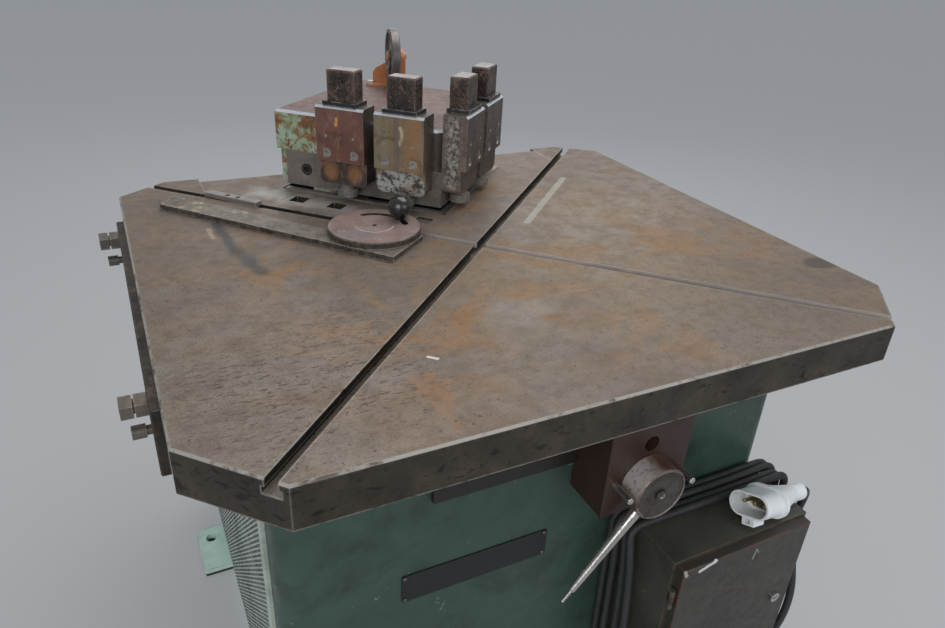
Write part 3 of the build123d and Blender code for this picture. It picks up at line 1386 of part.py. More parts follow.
pivot = upright(STOP_X, STOP_Y, (TABLE_TOP - PIVOT_SINK, TABLE_TOP + DISC_HIGH - PIVOT_BELOW), PIVOT_R)
write("pivot_and_stud", pivot, clamp_stud())
write("clamp_knob", knob())
write("stop_bar", stop_bar())
bar_screws, tee_nuts = stop_bar_fixings()
write("stop_bar_screws", *bar_screws, *tee_nuts)
write("side_bar", side_bar())
bolts, nuts, caps = side_bar_bolts()
write("side_bar_bolts", *bolts, *nuts, *caps)
write("base_cabinet", cabinet())
write("base_plate", base_plate())
write("foot_pads", *foot_pads())
write("vent_panel", vent_panel())
write("rear_cover", rear_cover())
write("guide_housing", housing())
write("guide_bushes", *guide_bushes())
write("guide_columns", *guide_columns())
write("main_cylinder", main_cylinder())
write("piston_rod", piston_rod())
write("front_rail", front_rail())
write("data_plate", data_plate())
write("bracket_block", bracket_block())
write("stop_studs", *stop_studs())
write("dial_hub", dial_hub())
write("dial_lever", lever_blank(0))
write("switch_box", switch_box())
write("box_door", box_door())
write("door_lock", door_lock())
write("switchgear", *switchgear())
write("cable_gland", cable_gland())
write("cable_coil", cable_coil())
write("power_cable", tube(lead_route()), tube(tail_route()))
write("plug_shell", plug_shell())
write("plug_pins", *plug_pins())
write("oil_tank", oil_tank())
write("motor_pump", *motor_pump())
write("valve_block", valve_block())
write("oil_pipes", *oil_pipes())
write("slug_chute", slug_chute())
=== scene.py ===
import functools
import math

import bpy
from mathutils import Matrix, Vector


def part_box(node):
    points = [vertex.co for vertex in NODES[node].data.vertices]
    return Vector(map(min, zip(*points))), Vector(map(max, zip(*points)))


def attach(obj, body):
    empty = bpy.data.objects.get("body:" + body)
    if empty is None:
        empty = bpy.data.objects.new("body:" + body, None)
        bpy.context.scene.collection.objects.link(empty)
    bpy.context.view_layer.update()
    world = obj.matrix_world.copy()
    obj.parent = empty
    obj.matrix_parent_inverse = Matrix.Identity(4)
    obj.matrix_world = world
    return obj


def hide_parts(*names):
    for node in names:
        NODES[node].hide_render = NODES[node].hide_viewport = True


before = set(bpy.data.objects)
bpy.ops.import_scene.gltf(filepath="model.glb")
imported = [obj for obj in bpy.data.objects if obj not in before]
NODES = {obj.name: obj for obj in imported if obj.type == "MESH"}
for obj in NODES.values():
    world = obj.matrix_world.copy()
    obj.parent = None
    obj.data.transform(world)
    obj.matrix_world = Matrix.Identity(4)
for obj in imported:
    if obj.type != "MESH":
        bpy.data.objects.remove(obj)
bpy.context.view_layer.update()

scene = bpy.context.scene
scene.view_settings.view_transform = "Standard"

TOP_Z = 0.85
ROOT = math.sqrt(0.5)
DISC_CENTRE = (-0.145, 0.0721, TOP_Z)
# The left wing of the head runs along (y - x) * ROOT. WING_FRONT is (x + y) * ROOT at its plates' fronts, and
# FAR_UNIT and NEAR_UNIT are where the right edges of its two units stand along the wing
WING_FRONT = 0.0565
UNIT_WIDE = 0.089
FAR_UNIT, NEAR_UNIT = 0.224, 0.116
# The two ends of the polished streak on the die bed
BED_BRIGHT = ((-0.27, 0.335), (-0.08, 0.125))
PLUG_MOUTH = Vector((0.275, -0.409, 0.5428))
PLUG_TURN = (Matrix.Rotation(math.radians(5.0), 3, "Z") @ Matrix.Rotation(math.radians(11.4), 3, "Y")
             @ Matrix.Rotation(math.radians(-21.0), 3, "X"))
GUARD_BOLTS = ((0.0085, 0.5251, 0.9985), (0.0506, 0.5162, 0.9985))


def spot(point):
    """The point itself, or the one on the table top where only x and y are given."""
    return Vector((*point, TOP_Z)[:3])


class Graph:
    """An emptied node tree. An input takes a value or the socket that it is linked from."""

    def __init__(self, tree):
        self.nodes, self.links = tree.nodes, tree.links
        self.nodes.clear()

    def put(self, socket, value):
        if isinstance(value, bpy.types.NodeSocket):
            self.links.new(value, socket)
        elif socket.type == "RGBA":
            socket.default_value = (*value[:3], 1)
        else:
            socket.default_value = value

    def new(self, kind, **inputs):
        """A node of a kind, with some inputs given by name."""
        node = self.nodes.new("ShaderNode" + kind)
        for name, value in inputs.items():
            self.put(node.inputs[name], value)
        return node

    def math(self, kind, a, b=0.0, c=0.0):
        node = self.new("Math")
        node.operation = kind
        for socket, value in zip(node.inputs, (a, b, c)):
            self.put(socket, value)
        return node.outputs[0]

    def both(self, *masks):
        """All masks at once: their product."""
        return functools.reduce(functools.partial(self.math, "MULTIPLY"), masks)

    def either(self, *masks):
        """The strongest of the masks."""
        return functools.reduce(functools.partial(self.math, "MAXIMUM"), masks)

    def seen(self):
        """1 for rays that come from the camera, off gloss or through glass, 0 for the rest."""
        path = self.new("LightPath")
        kinds = ("Is Camera Ray", "Is Glossy Ray", "Is Transmission Ray")
        return self.either(*(path.outputs[kind] for kind in kinds))


class Look(Graph):
    """A node material being put together. Patterns are laid out in the object's own metres."""

    def __init__(self, name, specular=0.5, coat=0.0, coat_rough=0.1):
        self.mat = bpy.data.materials.new(name)
        self.mat.use_nodes = True
        super().__init__(self.mat.node_tree)
        self.bsdf = self.new("BsdfPrincipled")
        self.new("OutputMaterial", Surface=self.bsdf.outputs[0])
        self.bsdf.inputs["Specular IOR Level"].default_value = specular
        self.bsdf.inputs["Coat Weight"].default_value = coat
        self.bsdf.inputs["Coat Roughness"].default_value = coat_rough
        self.coord = self.new("TexCoord").outputs["Object"]
        self.bump = None

    def vector(self, kind, a, b=(0, 0, 0), scale=1.0):
        node = self.new("VectorMath")
        node.operation = kind
        self.put(node.inputs[0], a)
        self.put(node.inputs[1], b)
        if kind == "SCALE":
            self.put(node.inputs["Scale"], scale)
        return node.outputs["Value" if kind in ("LENGTH", "DOT_PRODUCT") else "Vector"]

    def placed(self, scale=(1, 1, 1), turn=(0, 0, 0), shift=(0, 0, 0)):
        """The object's coordinates, changed for one pattern."""
        return self.new("Mapping", Vector=self.coord, Scale=scale, Rotation=turn, Location=shift).outputs[0]

    def noise(self, scale, detail, rough=0.55, warp=0.0, at=None):
        return self.new("TexNoise", Vector=at or self.coord, Scale=scale, Detail=detail, Roughness=rough,
                        Distortion=warp).outputs[0]

    def cells(self, scale, at=None):
        """How far the nearest of many scattered points is."""
        return self.new("TexVoronoi", Vector=at or self.coord, Scale=scale).outputs["Distance"]

    def step(self, value, low, high, to_low=0.0, to_high=1.0):
        """A soft step from to_low at low to to_high at high."""
        limits = {"From Min": low, "From Max": high, "To Min": to_low, "To Max": to_high}
        node = self.new("MapRange", Value=value, **limits)
        node.interpolation_type = "SMOOTHSTEP"
        return node.outputs[0]

    def patches(self, noise, *limits):
        """Noise cut by a soft step: first what noise takes, then what step takes."""
        return self.step(self.noise(*noise), *limits)

    def ramp(self, value, *stops):
        node = self.new("ValToRGB", Fac=value)
        points = node.color_ramp.elements
        while len(points) < len(stops):
            points.new(0.5)
        for point, (at, colour) in zip(points, stops):
            point.position = at
            point.color = (*colour, 1)
        return node.outputs[0]

    def mix(self, amount, a, b):
        node = self.new("Mix")
        node.data_type = "RGBA"
        for index, value in ((0, amount), (6, a), (7, b)):
            self.put(node.inputs[index], value)
        return node.outputs[2]

    def stack(self, colour, *coats):
        """Coats laid over a colour in turn: each a mask, the share of it that shows, and a shade."""
        for mask, share, shade in coats:
            colour = self.mix(mask if share == 1 else self.math("MULTIPLY", mask, share), colour, shade)
        return colour

    def facing(self, axis):
        """How far the surface looks along an axis, from -1 to 1."""
        return self.vector("DOT_PRODUCT", self.new("NewGeometry").outputs["True Normal"], axis)

    def faces(self, axis, low, high):
        """The faces that look along an axis."""
        return self.step(self.facing(axis), low, high)

    def height(self):
        """The z of the surface, in metres."""
        return self.vector("DOT_PRODUCT", self.coord, (0, 0, 1))

    def edge(self, radius, low=0.02, high=0.25):
        """1 along the outer and inner edges of the piece, within about the radius."""
        node = self.new("Bevel", Radius=radius)
        node.samples = 4
        return self.step(self.math("SUBTRACT", 1.0, self.facing(node.outputs[0])), low, high)

    def worn_rim(self, edge, scale, detail, low, high):
        """The edges where noise lets them through. The first tuple is what edge takes."""
        return self.both(self.edge(*edge), self.patches((scale, detail, 0.7), low, high))

    def worn_bevel(self, scale, low, high):
        """The slanting faces between the tops and the fronts, where noise lets them through."""
        rise = self.facing((0, 0, 1))
        slope = self.both(self.step(rise, 0.35, 0.5), self.step(rise, 0.95, 0.85))
        return self.both(slope, self.patches((scale, 5, 0.7), low, high))

    def within(self, distance, soft, wobble=0.0, scale=0.0):
        """1 up to a distance of 1, with a soft and, if asked, uneven rim."""
        if wobble:
            uneven = self.math("MULTIPLY", self.math("SUBTRACT", self.noise(scale, 5), 0.5), wobble * 2)
            distance = self.math("ADD", distance, uneven)
        return self.step(distance, 1.0, 1.0 - soft)

    def blot(self, centre, radius, soft, wobble=0.0, scale=0.0):
        """A round spot. The radius may be one number or three."""
        size = radius if isinstance(radius, tuple) else (radius,) * 3
        offset = self.vector("SUBTRACT", self.coord, tuple(spot(centre)))
        distance = self.vector("LENGTH", self.vector("DIVIDE", offset, size))
        return self.within(distance, soft, wobble, scale)

    def turned_blot(self, centre, axes, radii, soft):
        """An ellipsoid along three given axes."""
        offset = self.vector("SUBTRACT", self.coord, tuple(centre))
        total = 0.0
        for axis, radius in zip(axes, radii):
            share = self.vector("DOT_PRODUCT", offset, tuple(Vector(axis) / radius))
            total = self.math("ADD", total, self.math("MULTIPLY", share, share))
        return self.within(self.math("SQRT", total), soft)

    def stroke(self, a, b, width, soft, wobble=0.0, scale=0.0):
        """A streak from a to b, width across."""
        a, b = spot(a), spot(b)
        run = b - a
        offset = self.vector("SUBTRACT", self.coord, tuple(a))
        along = self.vector("DOT_PRODUCT", offset, tuple(run / run.length_squared))
        foot = self.vector("SCALE", tuple(run), scale=self.new("Clamp", Value=along).outputs[0])
        distance = self.vector("LENGTH", self.vector("SUBTRACT", offset, foot))
        return self.within(self.math("DIVIDE", distance, width / 2), soft, wobble, scale)

    def scratches(self, scale, turn, length, share, width):
        """Fine straight marks that run along X turned by an angle, broken up at random."""
        along = self.placed((1, length, length), (0, 0, turn))
        return self.patches((scale, 2.0, 0.5, 0.0, along), share, share + width)

    def relief(self, height, depth):
        """Adds a height pattern, depth in metres for a height of one."""
        node = self.new("Bump", Strength=1.0, Distance=depth, Height=height)
        if self.bump:
            self.links.new(self.bump, node.inputs["Normal"])
        self.bump = node.outputs[0]

    def finish(self, colour, rough, metallic=None):
        self.put(self.bsdf.inputs["Base Color"], colour)
        self.put(self.bsdf.inputs["Roughness"], rough)
        if metallic is not None:
            self.put(self.bsdf.inputs["Metallic"], metallic)
        if self.bump:
            self.links.new(self.bump, self.bsdf.inputs["Normal"])
        return self.mat


def table_look(name, bed=False):
    """Worn planed iron: grey brown, with rust that thins out where sheet slides over it."""
    look = Look(name, specular=0.28)
    up = look.faces((0, 0, 1), 0.5, 0.9)
    cloud = look.noise(3.2, 6, 0.6, 0.4)
    small = look.noise(26, 6, 0.65, 0.2)
    grain = look.noise(420, 3, 0.6)
    speck = look.noise(150, 4, 0.7)
    patch = look.noise(5.5, 7, 0.66, 0.9, look.placed((1, 1.25, 1), (0, 0, 0.6), (0.3, 0.1, 0)))
    zone = look.either(
        look.blot((0.12, -0.16), (0.4, 0.3, 0.2), 0.8, 0.35, 6),
        look.blot((-0.16, -0.2), (0.22, 0.22, 0.2), 0.8, 0.35, 7),
        look.blot((0.1, 0.24), (0.17, 0.2, 0.2), 0.9, 0.35, 7),
        look.blot((-0.27, 0.02), (0.13, 0.2, 0.2), 0.9, 0.35, 7))
    rust = look.both(look.step(patch, 0.43, 0.62), look.math("MULTIPLY_ADD", zone, 0.75, 0.25))
    far = look.blot((0.28, 0.36), (0.38, 0.26, 0.3), 0.9, 0.2, 6)
    golden = look.either(
        look.blot((0.13, -0.2), (0.34, 0.2, 0.2), 0.95, 0.3, 5),
        look.blot((0.26, 0.06), (0.24, 0.18, 0.2), 0.95, 0.3, 5),
        look.blot((-0.02, -0.1), (0.16, 0.14, 0.2), 0.95, 0.3, 5))
    streak = look.patches((7, 6, 0.7, 0.6, look.placed((0.6, 2.6, 1), (0, 0, -0.75))), 0.56, 0.7)
    flecks = look.both(look.step(look.cells(260, look.placed(turn=(0, 0, 0.8))), 0.2, 0.1),
                       look.patches((7, 4, 0.6), 0.4, 0.62), up)
    pits = look.both(look.step(look.cells(62, look.placed(turn=(0, 0, 0.3))), 0.12, 0.05),
                     look.patches((9, 3), 0.5, 0.6), up)
    marks = look.either(look.scratches(5.0, 0.25, 30, 0.7, 0.02), look.scratches(4.0, -0.9, 34, 0.71, 0.02),
                        look.scratches(4.5, 1.4, 30, 0.715, 0.02))
    marks = look.both(marks, look.patches((4, 2), 0.42, 0.6), up)
    dashes = look.either(*(look.patches((70, 2, 0.5, 0.4, look.placed((1, 4.2, 1), (0, 0, turn))), 0.63, 0.68)
                           for turn in (0.5, -0.35, 1.3)))
    worked = look.blot((-0.33, -0.29), (0.24, 0.2, 0.1), 0.7, 0.3, 8)
    iron = look.stack(
        look.ramp(cloud, (0.3, (0.165, 0.129, 0.101)), (0.5, (0.23, 0.187, 0.151)),
                  (0.72, (0.288, 0.243, 0.203))),
        (look.step(small, 0.4, 0.68, 0, 0.55), 1, (0.155, 0.118, 0.09)),
        (rust, 0.85, (0.3, 0.155, 0.06)),
        (far, 0.4, (0.185, 0.125, 0.078)),
        (golden, 0.38, (0.275, 0.185, 0.098)),
        (look.patches((60, 5, 0.7, 0.3), 0.46, 0.62), 0.3, (0.105, 0.08, 0.06)),
        (look.both(streak, zone, up), 1, (0.235, 0.105, 0.042)),
        (look.both(look.step(speck, 0.61, 0.7), up), 1, (0.075, 0.06, 0.048)),
        (look.step(grain, 0.42, 0.66, 0, 0.42), 1, (0.095, 0.078, 0.064)),
        (flecks, 0.55, (0.05, 0.04, 0.033)),
        (pits, 0.7, (0.045, 0.034, 0.028)),
        (marks, 0.16, (0.36, 0.32, 0.28)),
        (look.both(dashes, worked, up), 0.75, (0.06, 0.045, 0.04)))
    if bed:
        polished = look.stroke(*BED_BRIGHT, 0.08, 0.95, 0.75, 34)
        lines = look.either(
            look.stroke((-0.2422, 0.2882), (-0.2108, 0.3133), 0.0026, 0.5),
            look.stroke((0.0257, 0.1112), (0.0991, 0.1842), 0.0018, 0.5),
            look.stroke((0.0423, 0.1315), (0.0666, 0.1076), 0.0018, 0.5))
        iron = look.stack(iron, (0.12, 1, (0.3, 0.285, 0.27)), (polished, 0.62, (0.5, 0.48, 0.46)),
                          (lines, 0.75, (0.06, 0.05, 0.045)))
    else:
        pale = look.stroke((0.3152, 0.2394), (0.1215, 0.0483), 0.015, 0.4, 0.25, 60)
        oil = look.blot((0.479, -0.262), (0.036, 0.024, 0.02), 0.35, 0.22, 30)
        blue = look.either(
            look.stroke((-0.3669, 0.2067), (-0.3579, 0.0919), 0.026, 0.8, 0.5, 40),
            look.stroke((-0.3579, 0.0919), (-0.3371, 0.0018), 0.034, 0.8, 0.5, 40))
        chalk = look.stroke((-0.3815, 0.189), (-0.3803, 0.1493), 0.01, 0.6, 0.5, 90)
        run = look.either(
            look.stroke((-0.2201, -0.2422), (-0.1621, -0.2756), 0.016, 0.9, 0.6, 70),
            look.stroke((-0.2412, -0.3286), (-0.2311, -0.4285), 0.013, 0.9, 0.7, 60),
            look.stroke((-0.223, -0.33), (-0.224, -0.39), 0.026, 0.9, 0.8, 60))
        rubbed = look.blot((-0.045, -0.235), (0.075, 0.05, 0.02), 0.9, 0.6, 26)
        nick = look.stroke((-0.2075, -0.2935), (-0.1995, -0.301), 0.006, 0.5, 0.4, 200)
        iron = look.stack(
            iron, (pale, 0.62, (0.38, 0.38, 0.34)), (oil, 0.7, (0.062, 0.058, 0.054)),
            (blue, 0.7, (0.05, 0.056, 0.062)), (chalk, 0.45, (0.46, 0.42, 0.29)),
            (run, 0.42, (0.29, 0.135, 0.052)), (rubbed, 0.22, (0.38, 0.36, 0.33)),
            (nick, 1, (0.6, 0.58, 0.55)))
    # Painted highlight: near the top, the slot walls that face the front, along the slot right of the disc,
    # are made pale as if lit
    slot_wall_highlight = look.both(
        look.faces((-ROOT, -ROOT, 0), 0.8, 0.95), look.step(look.height(), TOP_Z - 0.013, TOP_Z - 0.006),
        look.stroke((-0.05, 0.05), (0.42, -0.42), 0.06, 0.1))
    across = look.math("ABSOLUTE", look.facing((ROOT, -ROOT, 0)))
    shaded = look.both(look.step(across, 0.8, 0.95), look.stroke((-0.6, -0.6), (0.6, 0.6), 0.09, 0.1))
    side = look.stack(
        look.ramp(look.noise(18, 6, 0.65), (0.3, (0.034, 0.029, 0.023)), (0.55, (0.064, 0.053, 0.042)),
                  (0.78, (0.11, 0.082, 0.058))),
        (look.step(speck, 0.56, 0.66, 0, 0.6), 1, (0.02, 0.017, 0.015)),
        (look.patches((38, 3, 0.6, 0.4, look.placed((1, 1, 2.2))), 0.6, 0.66), 0.7, (0.014, 0.012, 0.01)),
        # painted highlight on the slot walls
        (slot_wall_highlight, 0.9, (0.62, 0.54, 0.49)),
        (shaded, 0.85, (0.008, 0.007, 0.006)),
        # Painted reflection: the faces that look along -x are made pale grey-blue, as a glancing reflection
        # of a window
        (look.faces((-1, 0, 0), 0.8, 0.95), 0.8, (0.3, 0.29, 0.31)))
    rim = look.either(look.worn_rim((0.004,), 38, 5, 0.34, 0.52), look.worn_bevel(30, 0.34, 0.5))
    colour = look.stack(side, (up, 1, iron), (rim, 0.85, (0.48, 0.45, 0.41)))
    rough = look.math("ADD", look.step(small, 0.3, 0.75, 0.38, 0.58), look.math("MULTIPLY", rust, 0.12))
    rough = look.math("SUBTRACT", rough, look.math("MULTIPLY", rim, 0.12))
    look.relief(small, 0.0006)
    look.relief(grain, 0.00018)
    look.relief(pits, -0.0007)
    dents = look.step(look.cells(30, look.placed((1, 1, 0.7))), 0.3, 0.05)
    dents = look.both(dents, look.patches((13, 3), 0.52, 0.62), look.math("SUBTRACT", 1.0, up))
    look.relief(dents, -0.0022)
    bare = look.math("ADD", cloud, look.math("MULTIPLY", rust, -0.5))
    return look.finish(colour, rough, look.step(bare, 0.1, 0.7, 0.15, 0.45))


def steel_look(name, dark, light, rusty, rough=(0.28, 0.5), worn=(0.42, 0.39, 0.36), edge=0.0025,
               metallic=0.75, bare=0.8):
    """Machined steel with stains, rust at random and bright worn edges."""
    look = Look(name)
    cloud = look.noise(14, 6, 0.62, 0.3)
    fine = look.noise(90, 5, 0.65)
    grain = look.noise(600, 2, 0.5)
    stain = look.both(look.patches((22, 7, 0.7, 0.8), 0.48, 0.66), look.step(fine, 0.35, 0.6))
    colour = look.stack(
        look.ramp(cloud, (0.32, dark), (0.7, light)), (stain, rusty, (0.16, 0.085, 0.045)),
        (look.step(fine, 0.62, 0.74, 0, 0.6), 1, tuple(0.3 * v for v in dark)),
        (look.worn_rim((edge,), 70, 4, 0.34, 0.55), bare, worn))
    look.relief(fine, 0.00035)
    look.relief(grain, 0.00008)
    return look.finish(colour, look.step(fine, 0.3, 0.72, *rough),
                       look.math("SUBTRACT", metallic, look.math("MULTIPLY", stain, 0.35)))


def paint_look(name, colour, tint=None, under=(0.2, 0.19, 0.17), chips=0.5, edge=0.0022,
               dirt=(0.02, 0.02, 0.017), strokes=(), rust=(0.1, 0.045, 0.022), edge_colour=None):
    """Old enamel: uneven gloss, grime in soft clouds, chips and bare edges."""
    look = Look(name, specular=0.45)
    cloud = look.noise(4.5, 6, 0.6, 0.4)
    fine = look.noise(60, 6, 0.7)
    chip = look.both(look.patches((34, 5, 0.62, 0.3), 0.66, 0.685), look.patches((7, 3), 0.47, 0.56))
    spots = look.both(look.step(look.cells(75), 0.1, 0.06), look.patches((12, 3), 0.52, 0.6))
    line = look.both(look.scratches(7, 0.2, 40, 0.72, 0.015), look.patches((5, 2), 0.5, 0.6))
    rim = look.worn_rim((edge,), 48, 5, 0.4, 0.52)
    gone = look.math("MULTIPLY", look.either(chip, spots, look.math("MULTIPLY", line, 0.6)), chips)
    base = look.stack(
        look.ramp(cloud, (0.3, colour), (0.72, tint or tuple(v * 1.45 for v in colour))),
        (look.patches((9, 7, 0.7, 0.5), 0.44, 0.7, 0, 0.55), 1, dirt),
        (gone, 1, look.mix(look.step(fine, 0.42, 0.6), under, rust)),
        (rim, 0.85, edge_colour or look.mix(fine, under, rust)),
        *((look.stroke(a, b, width, 0.5, 0.5, 150), share, shade) for a, b, width, share, shade in strokes))
    look.relief(cloud, 0.0008)
    look.relief(fine, 0.00012)
    look.relief(look.either(gone, rim), -0.00025)
    return look.finish(base, look.step(fine, 0.3, 0.75, 0.34, 0.52), look.math("MULTIPLY", rim, 0.4))


def on_left_wing(unit_q, share, high):
    """A place on a left-hand hold-down plate: the share of its width from the left, and the height."""
    q = unit_q + UNIT_WIDE * (1 - share)
    return ((WING_FRONT - q) * ROOT, (WING_FRONT + q) * ROOT, TOP_Z + high)


def face_look(name, block=False):
    """The hold-down units: each plate has its own tone, stains and scratches, and a bright bevel on top."""
    look = Look(name, specular=0.4)
    cloud = look.noise(16, 6, 0.62, 0.3)
    fine = look.noise(110, 5, 0.68)
    speck = look.noise(300, 4, 0.7)
    far = functools.partial(on_left_wing, FAR_UNIT)
    near = functools.partial(on_left_wing, NEAR_UNIT)
    unit_size = (0.052, 0.052, 0.12)
    red = look.mix(cloud, (0.15, 0.06, 0.048), (0.25, 0.125, 0.102))
    gold = look.mix(cloud, (0.19, 0.136, 0.08), (0.33, 0.245, 0.15))
    colour = look.stack(
        look.ramp(cloud, (0.3, (0.11, 0.08, 0.068)), (0.7, (0.23, 0.185, 0.16))),
        (look.blot(far(0.5, 0.1), unit_size, 0.15), 1, red),
        (look.blot(near(0.5, 0.1), unit_size, 0.15), 1, gold))
    if block:
        spots = look.either(
            look.blot(far(0.24, 0.056), (0.021, 0.021, 0.024), 0.45, 0.35, 55),
            look.blot(far(0.74, 0.056), (0.02, 0.02, 0.024), 0.45, 0.35, 55))
        paint = look.mix(look.patches((85, 7, 0.78, 0.2), 0.47, 0.56), (0.44, 0.45, 0.42),
                         (0.075, 0.062, 0.052))
        side_x, side_y = 0.019 * ROOT, 0.183 * ROOT
        side = look.both(
            look.faces((-ROOT, -ROOT, 0), 0.7, 0.9),
            look.blot((side_x, side_y, TOP_Z + 0.1), (0.06, 0.06, 0.09), 0.1))
        band = look.stroke((side_x, side_y, TOP_Z + 0.155), (side_x, side_y, TOP_Z + 0.055), 0.034, 0.6, 0.5,
                           70)
        mottle = look.mix(look.patches((120, 5, 0.75), 0.42, 0.6), (0.1, 0.085, 0.075), (0.42, 0.4, 0.37))
        colour = look.stack(
            colour,
            (look.blot(far(0.5, 0.045), (0.052, 0.052, 0.032), 0.1), 1, (0.075, 0.055, 0.045)),
            (spots, 0.85, look.mix(fine, (0.2, 0.095, 0.04), (0.42, 0.21, 0.095))),
            (look.blot(near(0.5, 0.05), (0.052, 0.052, 0.03), 0.15), 1, paint),
            (look.blot(near(0.68, 0.05), (0.016, 0.016, 0.013), 0.8, 0.5, 60), 0.6, (0.36, 0.19, 0.09)),
            (look.blot(near(0.44, 0.04), (0.013, 0.013, 0.011), 0.4, 0.5, 70), 1, (0.02, 0.017, 0.015)),
            (look.both(side, band), 1, mottle))
    else:
        pale = look.either(
            look.stroke(near(0.54, 0.148), near(0.58, 0.136), 0.01, 0.9, 0.9, 130),
            look.stroke(near(0.58, 0.136), near(0.53, 0.122), 0.008, 0.9, 0.9, 130))
        colour = look.stack(
            colour,
            (look.stroke(near(0.16, 0.17), near(0.16, 0.08), 0.034, 0.5, 0.3, 50), 0.65, (0.25, 0.225, 0.15)),
            (look.stroke(near(0.46, 0.18), near(0.45, 0.075), 0.014, 0.6, 0.3, 60), 0.6, (0.15, 0.135, 0.13)),
            (look.stroke(near(0.82, 0.155), near(0.76, 0.085), 0.034, 0.7, 0.45, 45), 0.6,
             (0.36, 0.175, 0.08)),
            (pale, 0.85, (0.66, 0.56, 0.36)),
            (look.stroke(far(0.45, 0.15), far(0.45, 0.09), 0.011, 0.9, 0.9, 90), 0.45, (0.3, 0.12, 0.05)),
            (look.stroke(far(0.45, 0.15), far(0.43, 0.139), 0.0065, 0.9, 0.9, 170), 0.95, (0.8, 0.36, 0.12)))
    bright = look.worn_bevel(45, 0.22, 0.36)
    colour = look.stack(
        colour,
        (look.patches((30, 7, 0.72, 0.8), 0.48, 0.66), 0.55, (0.065, 0.04, 0.031)),
        (look.patches((70, 6, 0.75, 0.3, look.placed((1, 1, 0.45))), 0.54, 0.64), 0.35, (0.36, 0.27, 0.2)),
        (look.step(speck, 0.62, 0.72, 0, 0.5), 1, (0.03, 0.022, 0.018)),
        # Painted shade: the right-hand side faces, which look along (ROOT, -ROOT, 0), are darkened
        (look.faces((ROOT, -ROOT, 0), 0.7, 0.9), 0.55, (0.02, 0.017, 0.015)),
        (look.worn_rim((0.0024,), 70, 4, 0.38, 0.55), 0.6, (0.34, 0.29, 0.25)),
        (look.faces((0, 0, 1), 0.95, 0.99), 0.7, (0.075, 0.07, 0.066)),
        (bright, 1, (0.7, 0.72, 0.78)))
    look.relief(fine, 0.0005)
    look.relief(speck, 0.00015)
    tone = look.math("SUBTRACT", look.step(fine, 0.3, 0.72, 0.36, 0.56), look.math("MULTIPLY", bright, 0.12))
    return look.finish(colour, tone, look.math("MULTIPLY_ADD", bright, 0.35, 0.25))


def head_look():
    """The head casting: red-brown cap with bright bevels, flaked pale paint and rust on the left wall."""
    look = Look("head_iron", specular=0.35)
    cloud = look.noise(9, 6, 0.62, 0.4)
    fine = look.noise(90, 6, 0.7)
    cap = look.stack(
        look.ramp(cloud, (0.3, (0.13, 0.078, 0.068)), (0.72, (0.215, 0.138, 0.122))),
        (look.patches((24, 6, 0.7, 0.4), 0.5, 0.66, 0, 0.6), 1, (0.075, 0.05, 0.045)))
    left = look.both(look.faces((-ROOT, -ROOT, 0), 0.7, 0.9),
                     look.blot((-0.205, 0.345, TOP_Z + 0.1), (0.085, 0.085, 0.2), 0.05))
    paint = look.mix(look.patches((28, 4, 0.6), 0.42, 0.58), (0.4, 0.52, 0.38), (0.27, 0.31, 0.17))
    under = look.mix(look.step(fine, 0.4, 0.6), (0.16, 0.09, 0.045), (0.36, 0.155, 0.065))
    coat = look.both(look.patches((42, 6, 0.66, 0.5), 0.44, 0.52), look.patches((11, 4, 0.6), 0.36, 0.46))
    bright = look.worn_bevel(40, 0.24, 0.38)
    colour = look.stack(
        look.ramp(cloud, (0.3, (0.062, 0.052, 0.044)), (0.72, (0.125, 0.108, 0.09))),
        (look.faces((0, 0, 1), 0.9, 0.99), 1, cap),
        (left, 1, look.mix(coat, under, paint)),
        (look.patches((180, 4, 0.7), 0.6, 0.7, 0, 0.55), 1, (0.032, 0.026, 0.022)),
        (look.worn_rim((0.003,), 50, 5, 0.36, 0.52), 0.6, (0.36, 0.34, 0.32)),
        (bright, 1, (0.68, 0.71, 0.78)))
    look.relief(fine, 0.0004)
    look.relief(look.both(left, coat), 0.0003)
    tone = look.math("SUBTRACT", look.step(fine, 0.3, 0.72, 0.42, 0.62), look.math("MULTIPLY", bright, 0.2))
    return look.finish(colour, tone, look.math("MULTIPLY_ADD", bright, 0.35, 0.12))


def ram_look():
    """Ram heads: pale worn tops and rims round black, pitted and rust-speckled faces."""
    look = Look("ram_steel", specular=0.45)
    fine = look.noise(260, 5, 0.7)
    cloud = look.noise(45, 5, 0.65, 0.5)
    pits = look.cells(230, look.placed(turn=(0.2, 0, 0.3)))
    crust = look.both(look.step(pits, 0.5, 0.62), look.step(fine, 0.46, 0.6),
                      look.patches((60, 4, 0.6), 0.4, 0.6))
    low = look.step(look.height(), TOP_Z + 0.15, TOP_Z + 0.146)
    colour = look.stack(
        look.ramp(cloud, (0.34, (0.02, 0.019, 0.02)), (0.52, (0.055, 0.04, 0.034)),
                  (0.68, (0.15, 0.095, 0.075))),
        (crust, 0.7, (0.26, 0.19, 0.15)),
        (look.worn_rim((0.012, 0.002, 0.1), 80, 5, 0.38, 0.58), 0.65, (0.17, 0.1, 0.078)),
        (low, 1, look.ramp(fine, (0.3, (0.13, 0.12, 0.11)), (0.7, (0.27, 0.25, 0.23)))),
        (look.faces((0, 0, 1), 0.9, 0.99), 1,
         look.ramp(look.noise(70, 5, 0.7), (0.3, (0.24, 0.21, 0.2)), (0.7, (0.42, 0.38, 0.36)))),
        (look.worn_rim((0.0035, 0.02, 0.18), 90, 4, 0.4, 0.54), 0.7, (0.4, 0.33, 0.3)))
    look.relief(pits, 0.0006)
    look.relief(fine, 0.0003)
    return look.finish(colour, look.step(fine, 0.3, 0.7, 0.32, 0.55), 0.35)


